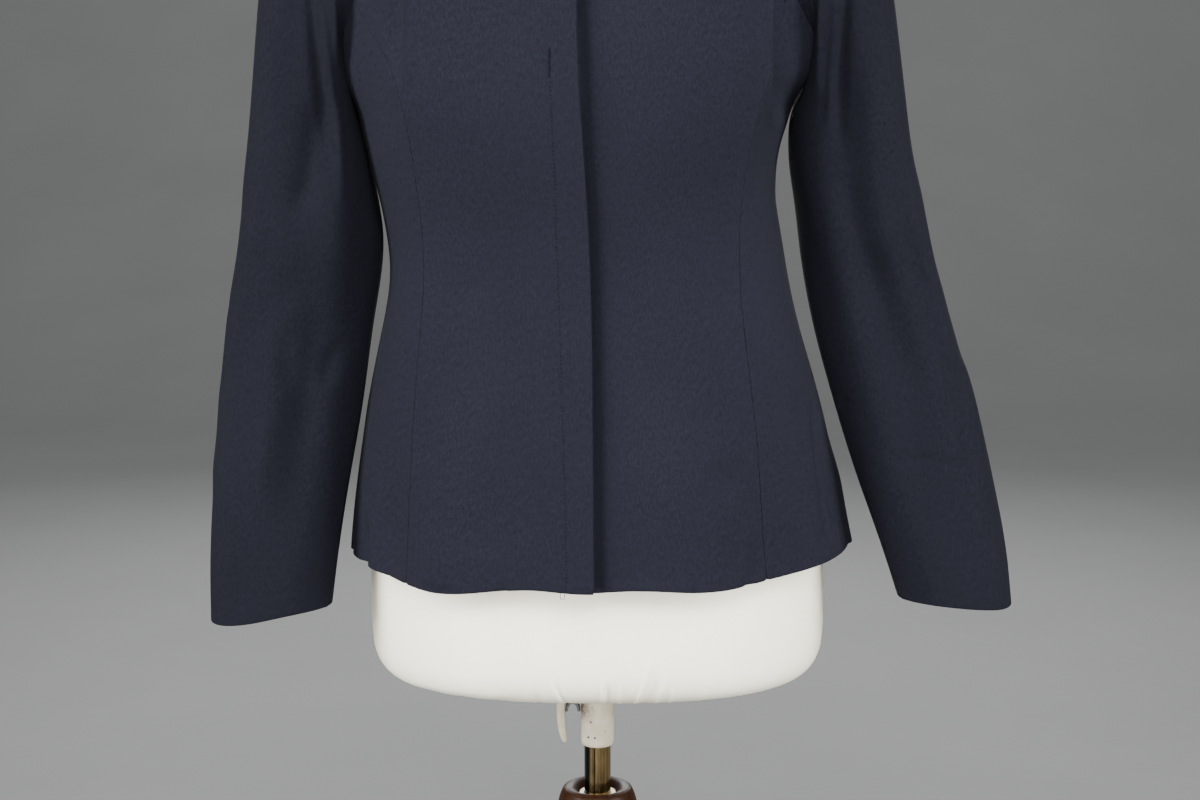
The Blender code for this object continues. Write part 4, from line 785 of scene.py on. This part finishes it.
cover = fine_shell("jersey_cover", "form_torso", 2, 0.3, jersey.made, 60)
co = places(cover.data)
under = (np.clip((co[:, 2] - HIDDEN[0]) / HIDDEN_FADE[0], 0, 1)
         * np.clip((HIDDEN[1] - co[:, 2]) / HIDDEN_FADE[1], 0, 1))
away = (co - body_centre(co)) * (BODY_FLATNESS, 1, 1)
away /= np.linalg.norm(away, axis=1, keepdims=True)
co = co - (away * (1, 1, 0) + (0, 0, 0.5)) * (under * UNDER_CLOTH)[:, None]
cover.data.vertices.foreach_set("co", co.ravel())
refine(cover, lambda co: co.z < 0.556 and co.y < -0.02 and abs(co.x) < 0.1, 4)
press(cover, PUCKERS, body_centre, BODY_FLATNESS)
lay_cloth(cover, body_centre, COVER_REACH)
seat(cover, "form", "form_torso")

# ---------------------------------------------------------------- socket tube, clamp and washer
# The form's socket tube is steel under old cream enamel, chipped at its rim and stained with
# rust where the clamp's bracket is fixed. It slides on the pole, and a wing lever clamps it.
ENAMEL = (0.50, 0.455, 0.35)
ENAMEL_OLD = (0.40, 0.345, 0.245)
RUST = (0.070, 0.030, 0.011)
CHIP = (0.030, 0.024, 0.020)
ZINC_DARK = (0.05, 0.045, 0.04)
ZINC_LIGHT = (0.15, 0.14, 0.125)
SOCKET_RADIUS = 0.0137
CHIPS = [(-0.0055, 0.4555, 0.0011), (-0.0078, 0.4425, 0.0013), (-0.0022, 0.4425, 0.0010),
         (0.0065, 0.4475, 0.0007)]     # x, z and radius on the front of the tube
RUST_AT = (-0.0132, -0.004, 0.466)
STRAP_STEPS = 14
STRAP_FOOT = 0.004         # the straight part of the bracket's strap, below its arch
STRAP_INSIDE = (0.62, 0.74)     # its inner curve's width and height, as shares of the outer's
AXLE = (-0.0272, 0.476)    # x and z of the lever's rivet
RIVET = [(0.0098, 0.0), (0.0098, 0.0012), (0.0094, 0.0021), (0.0088, 0.0025), (0.0085, 0.0014)]
RIVET_SIDES = 16           # RIVET has the y and radius of its head's rings, mirrored behind


def marks_group():
    """Old paint that has worn: a mask of blotches, and one of small chips."""
    group = Group("worn_paint", [("Place", "NodeSocketVector"), ("Size", "NodeSocketFloat"),
                                 ("Amount", "NodeSocketFloat")], ["Blotches", "Chips"])
    place, size, amount = (group.start[key] for key in ("Place", "Size", "Amount"))
    group.join(group.noise(place, group.sum("DIVIDE", 1.0, size), 5, 0.65), group.end["Blotches"])
    fleck = group.noise(place, group.sum("DIVIDE", 9.0, size), 2, 0.5)
    edge = group.sum("SUBTRACT", 0.86, group.sum("MULTIPLY", amount, 0.3))
    group.join(group.sum("GREATER_THAN", fleck, edge), group.end["Chips"])
    return group.tree


marks = marks_group()


def distance_mask(paint, place, radius, softness):
    """1 near a place on the object, falling to 0 at radius, with a ragged edge."""
    away = paint.add("ShaderNodeVectorMath", operation="DISTANCE")
    paint.join(paint.place(), away.inputs[0])
    away.inputs[1].default_value = place
    ragged = paint.noise(paint.place(), 420.0, 4.0)
    reach = paint.sum("MULTIPLY_ADD", ragged, radius * 1.2, away.outputs["Value"])
    return paint.grade(reach, radius * (1.6 - softness), radius * 1.6, 1, 0)


enamel = Paint("worn_cream_enamel")
worn = enamel.add("ShaderNodeGroup", node_tree=marks, Size=0.02, Amount=0.25)
enamel.join(enamel.place(), worn.inputs["Place"])
colour = enamel.ramp(worn.outputs["Blotches"], (0.35, ENAMEL_OLD), (0.6, ENAMEL))
stain = distance_mask(enamel, RUST_AT, 0.0150, 0.9)
colour = enamel.blend(stain, colour, RUST)
chipped = worn.outputs["Chips"]
for x, z, radius in CHIPS:
    chipped = enamel.sum("MAXIMUM", chipped,
                         distance_mask(enamel, (x, -math.sqrt(SOCKET_RADIUS**2 - x * x), z),
                                       radius, 0.4))
enamel.feed(Base_Color=enamel.blend(chipped, colour, CHIP),
            Roughness=enamel.grade(enamel.sum("ADD", stain, chipped), 0, 1, 0.36, 0.85),
            Normal=enamel.bump(enamel.sum("MULTIPLY_ADD", chipped, -0.6, worn.outputs["Blotches"]),
                               0.3, 0.0003))
enamel.set(Coat_Weight=0.15, Coat_Roughness=0.25)

galvanised = Paint("dull_zinc_plate")
grain = galvanised.noise(galvanised.place(), 300.0, 4.0)
galvanised.feed(Base_Color=galvanised.ramp(grain, (0.3, ZINC_DARK), (0.7, ZINC_LIGHT)),
                Roughness=galvanised.grade(grain, 0.3, 0.7, 0.5, 0.3))
galvanised.set(Metallic=0.9)

# The bracket is a strap bent to an arch. Its rivet is the lever's axle.
low, high = (np.array(corner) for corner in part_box("clamp_bracket"))
verts, faces = [], []
for k in range(STRAP_STEPS + 1):
    a = math.pi * k / STRAP_STEPS
    for wide, tall in ((1.0, 1.0), STRAP_INSIDE):
        x = (low[0] + high[0]) / 2 - math.cos(a) * (high[0] - low[0]) / 2 * wide
        z = low[2] + STRAP_FOOT + math.sin(a) * (high[2] - low[2] - STRAP_FOOT) * tall
        verts += [(x, low[1], z), (x, high[1], z)]
for b in range(0, 4 * STRAP_STEPS, 4):
    faces += [(b, b + 1, b + 5, b + 4), (b + 2, b + 6, b + 7, b + 3),
              (b, b + 4, b + 6, b + 2), (b + 1, b + 3, b + 7, b + 5)]
last = 4 * STRAP_STEPS
faces += [(0, 2, 3, 1), (last, last + 1, last + 3, last + 2)]
strap = add_mesh("bracket_strap", verts, faces, galvanised.made, smooth=False)
bevel = strap.modifiers.new("rounded", "BEVEL")
bevel.width = 0.0005
bevel.segments = 2
bevel.limit_method = "ANGLE"
seat(strap, "form", "clamp_bracket")
verts, faces = [], []
rings = RIVET + [(-y, radius) for y, radius in RIVET[::-1]]
for y, radius in rings:
    for j in range(RIVET_SIDES):
        a = 2 * math.pi * j / RIVET_SIDES
        verts.append((AXLE[0] + radius * math.cos(a), y, AXLE[1] + radius * math.sin(a)))
for ring in range(0, RIVET_SIDES * (len(rings) - 1), RIVET_SIDES):
    for j in range(RIVET_SIDES):
        a, b = ring + j, ring + (j + 1) % RIVET_SIDES
        faces.append((a, b, b + RIVET_SIDES, a + RIVET_SIDES))
pin = add_mesh("lever_rivet", verts, faces, galvanised.made)
seat(pin, "form")

for node, body, finish, slot in (
        ("form_socket", "form", enamel, "cream_enamel"),
        ("clamp_lever", "lever", enamel, "cream_enamel"),
        ("stand_ring", "stand", enamel, "cream_enamel")):
    seat(fine_shell("metal_" + node, node, 2, HARD_RIM, finish.made, HARD_ANGLE), body, node)

# ---------------------------------------------------------------- the pole
# A drawn steel tube, plated and polished, gone golden with age. Its weld line runs down the front
# beside a near-black strip painted on one flank, and fine scratches run along it.
POLE_DARK = (0.10, 0.068, 0.030)
POLE_BRIGHT = (0.44, 0.31, 0.14)
POLE_DARK_STRIP = (0.010, 0.010, 0.010)
WELD_COLOUR = (0.02, 0.015, 0.010)
WELD_X = -0.0024
steel = Paint("aged_polished_steel")
streaks = steel.noise(steel.place((1, 1, 0.02)), 700.0, 4.0)
tarnish = steel.noise(steel.place((1, 1, 0.4)), 60.0, 5.0)
across, back = steel.split(steel.place())
off_weld = steel.sum("ABSOLUTE", steel.sum("SUBTRACT", across, WELD_X))
weld = steel.sum("MULTIPLY", steel.grade(off_weld, 0.0002, 0.0006, 1, 0),
                 steel.sum("LESS_THAN", back, 0.0))
shine = steel.ramp(steel.sum("MULTIPLY_ADD", streaks, 0.5, steel.sum("MULTIPLY", tarnish, 0.5)),
                   (0.36, POLE_DARK), (0.62, POLE_BRIGHT))
# A near-black strip painted down the front of one flank.
dark_strip = steel.sum("MULTIPLY", steel.grade(across, -0.0072, -0.0060, 1, 0),
                      steel.grade(back, -0.0020, -0.0005, 1, 0))
shine = steel.blend(dark_strip, shine, POLE_DARK_STRIP)
steel.feed(Base_Color=steel.blend(weld, shine, WELD_COLOUR),
           Roughness=steel.grade(tarnish, 0.3, 0.7, 0.16, 0.34),
           Normal=steel.bump(streaks, 0.12, 0.0001))
steel.set(Metallic=1.0)
seat(fine_shell("metal_pole", "pole", 2, HARD_RIM, steel.made, HARD_ANGLE),
     "pole", "pole")

# ---------------------------------------------------------------- hub and legs
# A turned hub and three bent legs of hardwood, stained dark red-brown and varnished, with the
# varnish worn through in small scattered chips.
WOOD_DARK = (0.0032, 0.0013, 0.0006)
WOOD_LIGHT = (0.0200, 0.0075, 0.0030)
WOOD_WORN = (0.09, 0.045, 0.022)


def dark_wood(name, stretch):
    """Stained wood with its grain along one way of the piece."""
    wood = Paint(name)
    grain = wood.noise(wood.place(stretch), 190.0, 5.0, 0.65)
    pores = wood.noise(wood.place(stretch), 900.0, 2.0)
    bands = wood.noise(wood.place([max(s, 0.2) for s in stretch]), 26.0, 3.0)
    tone = wood.sum("MULTIPLY_ADD", grain, 0.6, wood.sum("MULTIPLY", bands, 0.4))
    worn = wood.add("ShaderNodeGroup", node_tree=marks, Size=0.03, Amount=0.45)
    wood.join(wood.place(), worn.inputs["Place"])
    stained = wood.ramp(tone, (0.34, WOOD_DARK), (0.66, WOOD_LIGHT))
    wood.feed(Base_Color=wood.blend(worn.outputs["Chips"], stained, WOOD_WORN),
              Roughness=wood.grade(worn.outputs["Blotches"], 0.3, 0.7, 0.36, 0.58),
              Normal=wood.bump(pores, 0.15, 0.0003, wood.bump(grain, 0.10, 0.0004)))
    wood.set(Coat_Weight=0.015, Coat_Roughness=0.25, Specular_IOR_Level=0.05)
    return wood


turned_wood = dark_wood("turned_dark_wood", (1, 1, 0.12))
leg_wood = dark_wood("bent_dark_wood", (0.3, 0.3, 0.3))
for node in ("stand_hub", "stand_leg_1", "stand_leg_2", "stand_leg_3"):
    wood = turned_wood if node == "stand_hub" else leg_wood
    seat(fine_shell("wood_" + node, node, 2, HARD_RIM, wood.made, HARD_ANGLE),
         "stand", node)

# ---------------------------------------------------------------- zip
# A concealed zip on the left front, under the right front's fly: navy tape, a moulded chain of
# small teeth, a stitch line down each side of the tape, and a slider with a flat pull.
TOOTH_PITCH = 0.0016
TOOTH = (0.0021, 0.0009, 0.0006)        # length across, height along the tape, and thickness
TEETH_COLOUR = (0.010, 0.0105, 0.016)
TOOTH_OFFSET = 0.0006      # of each side's teeth from the middle of the chain
CHAIN_END = 0.003          # the chain stops this far short of the tape's ends,
SEAM_END = 0.004           # and the stitch lines this far
SEAM_OFFSET = 0.0105       # of the stitch lines from the middle
tape_weave = suiting("navy_zip_tape", 0.85)
tape = fine_shell("zip_tape_cloth", "zip_tape", 1, 1.0, tape_weave.made, HARD_ANGLE)
lay_cloth(tape, body_centre, BODY_REACH)
find_tape = seen_point(tape)
tape_points = places(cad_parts["zip_tape"].data)
rows = sorted({round(float(z), 4) for z in tape_points[:, 2]})
middles = np.array([(z, tape_points[np.abs(tape_points[:, 2] - z) < 0.0006, 0].mean())
                    for z in rows])


def tape_middle(z):
    return float(np.interp(z, middles[:, 0], middles[:, 1]))


nylon = Paint("navy_moulded_nylon")
speckle = nylon.noise(nylon.place(), 1500.0, 2.0)
nylon.feed(Base_Color=nylon.ramp(speckle, (0.3, [c * 0.7 for c in TEETH_COLOUR]),
                                 (0.7, [c * 1.3 for c in TEETH_COLOUR])),
           Roughness=nylon.grade(speckle, 0.3, 0.7, 0.35, 0.5))
verts, faces = [], []
for k, z in enumerate(np.arange(rows[0] + CHAIN_END, rows[-1] - CHAIN_END, TOOTH_PITCH / 2)):
    side = 1 if k % 2 else -1
    point, out = find_tape(tape_middle(z) + side * TOOTH_OFFSET, z)
    if point is None:
        continue
    up = np.array([0, 0, 1.0]) - out * out[2]
    up /= np.linalg.norm(up)
    left = np.cross(up, out)
    base = len(verts)
    for high, shrink in ((-0.0002, 1.0), (TOOTH[2] * 0.55, 1.0), (TOOTH[2] * 0.85, 0.7)):
        for a, b in ((-1, -1), (1, -1), (1, 1), (-1, 1)):
            narrow = 0.72 if a == -side else 1.0
            verts.append(point + out * high + left * a * shrink * TOOTH[0] / 2
                         + up * b * shrink * narrow * TOOTH[1] / 2)
    for low in (base, base + 4):
        faces += [(low + j, low + (j + 1) % 4, low + 4 + (j + 1) % 4, low + 4 + j)
                  for j in range(4)]
    faces += [(base + 3, base + 2, base + 1, base), (base + 8, base + 9, base + 10, base + 11)]
teeth = add_mesh("zip_teeth", verts, faces, nylon.made, smooth=False)
seams = []
for offset in (-SEAM_OFFSET, SEAM_OFFSET):
    line = [((tape_middle(z) + offset) * 1000, z * 1000)
            for z in np.linspace(rows[0] + SEAM_END, rows[-1] - SEAM_END, 24)]
    seams += stitches(find_tape, line, 0.0030, 0.0023, 0.0001, 0.0002)
tape_seams = strands("zip_stitching", seams, 0.0002, thread.made, 5)
slider = fine_shell("zip_slider_metal", "zip_slider", 2, 0.75, galvanised.made, HARD_ANGLE)
seat(tape, "form", "zip_tape")
seat(teeth, "form")
seat(tape_seams, "form")
seat(slider, "form", "zip_slider")
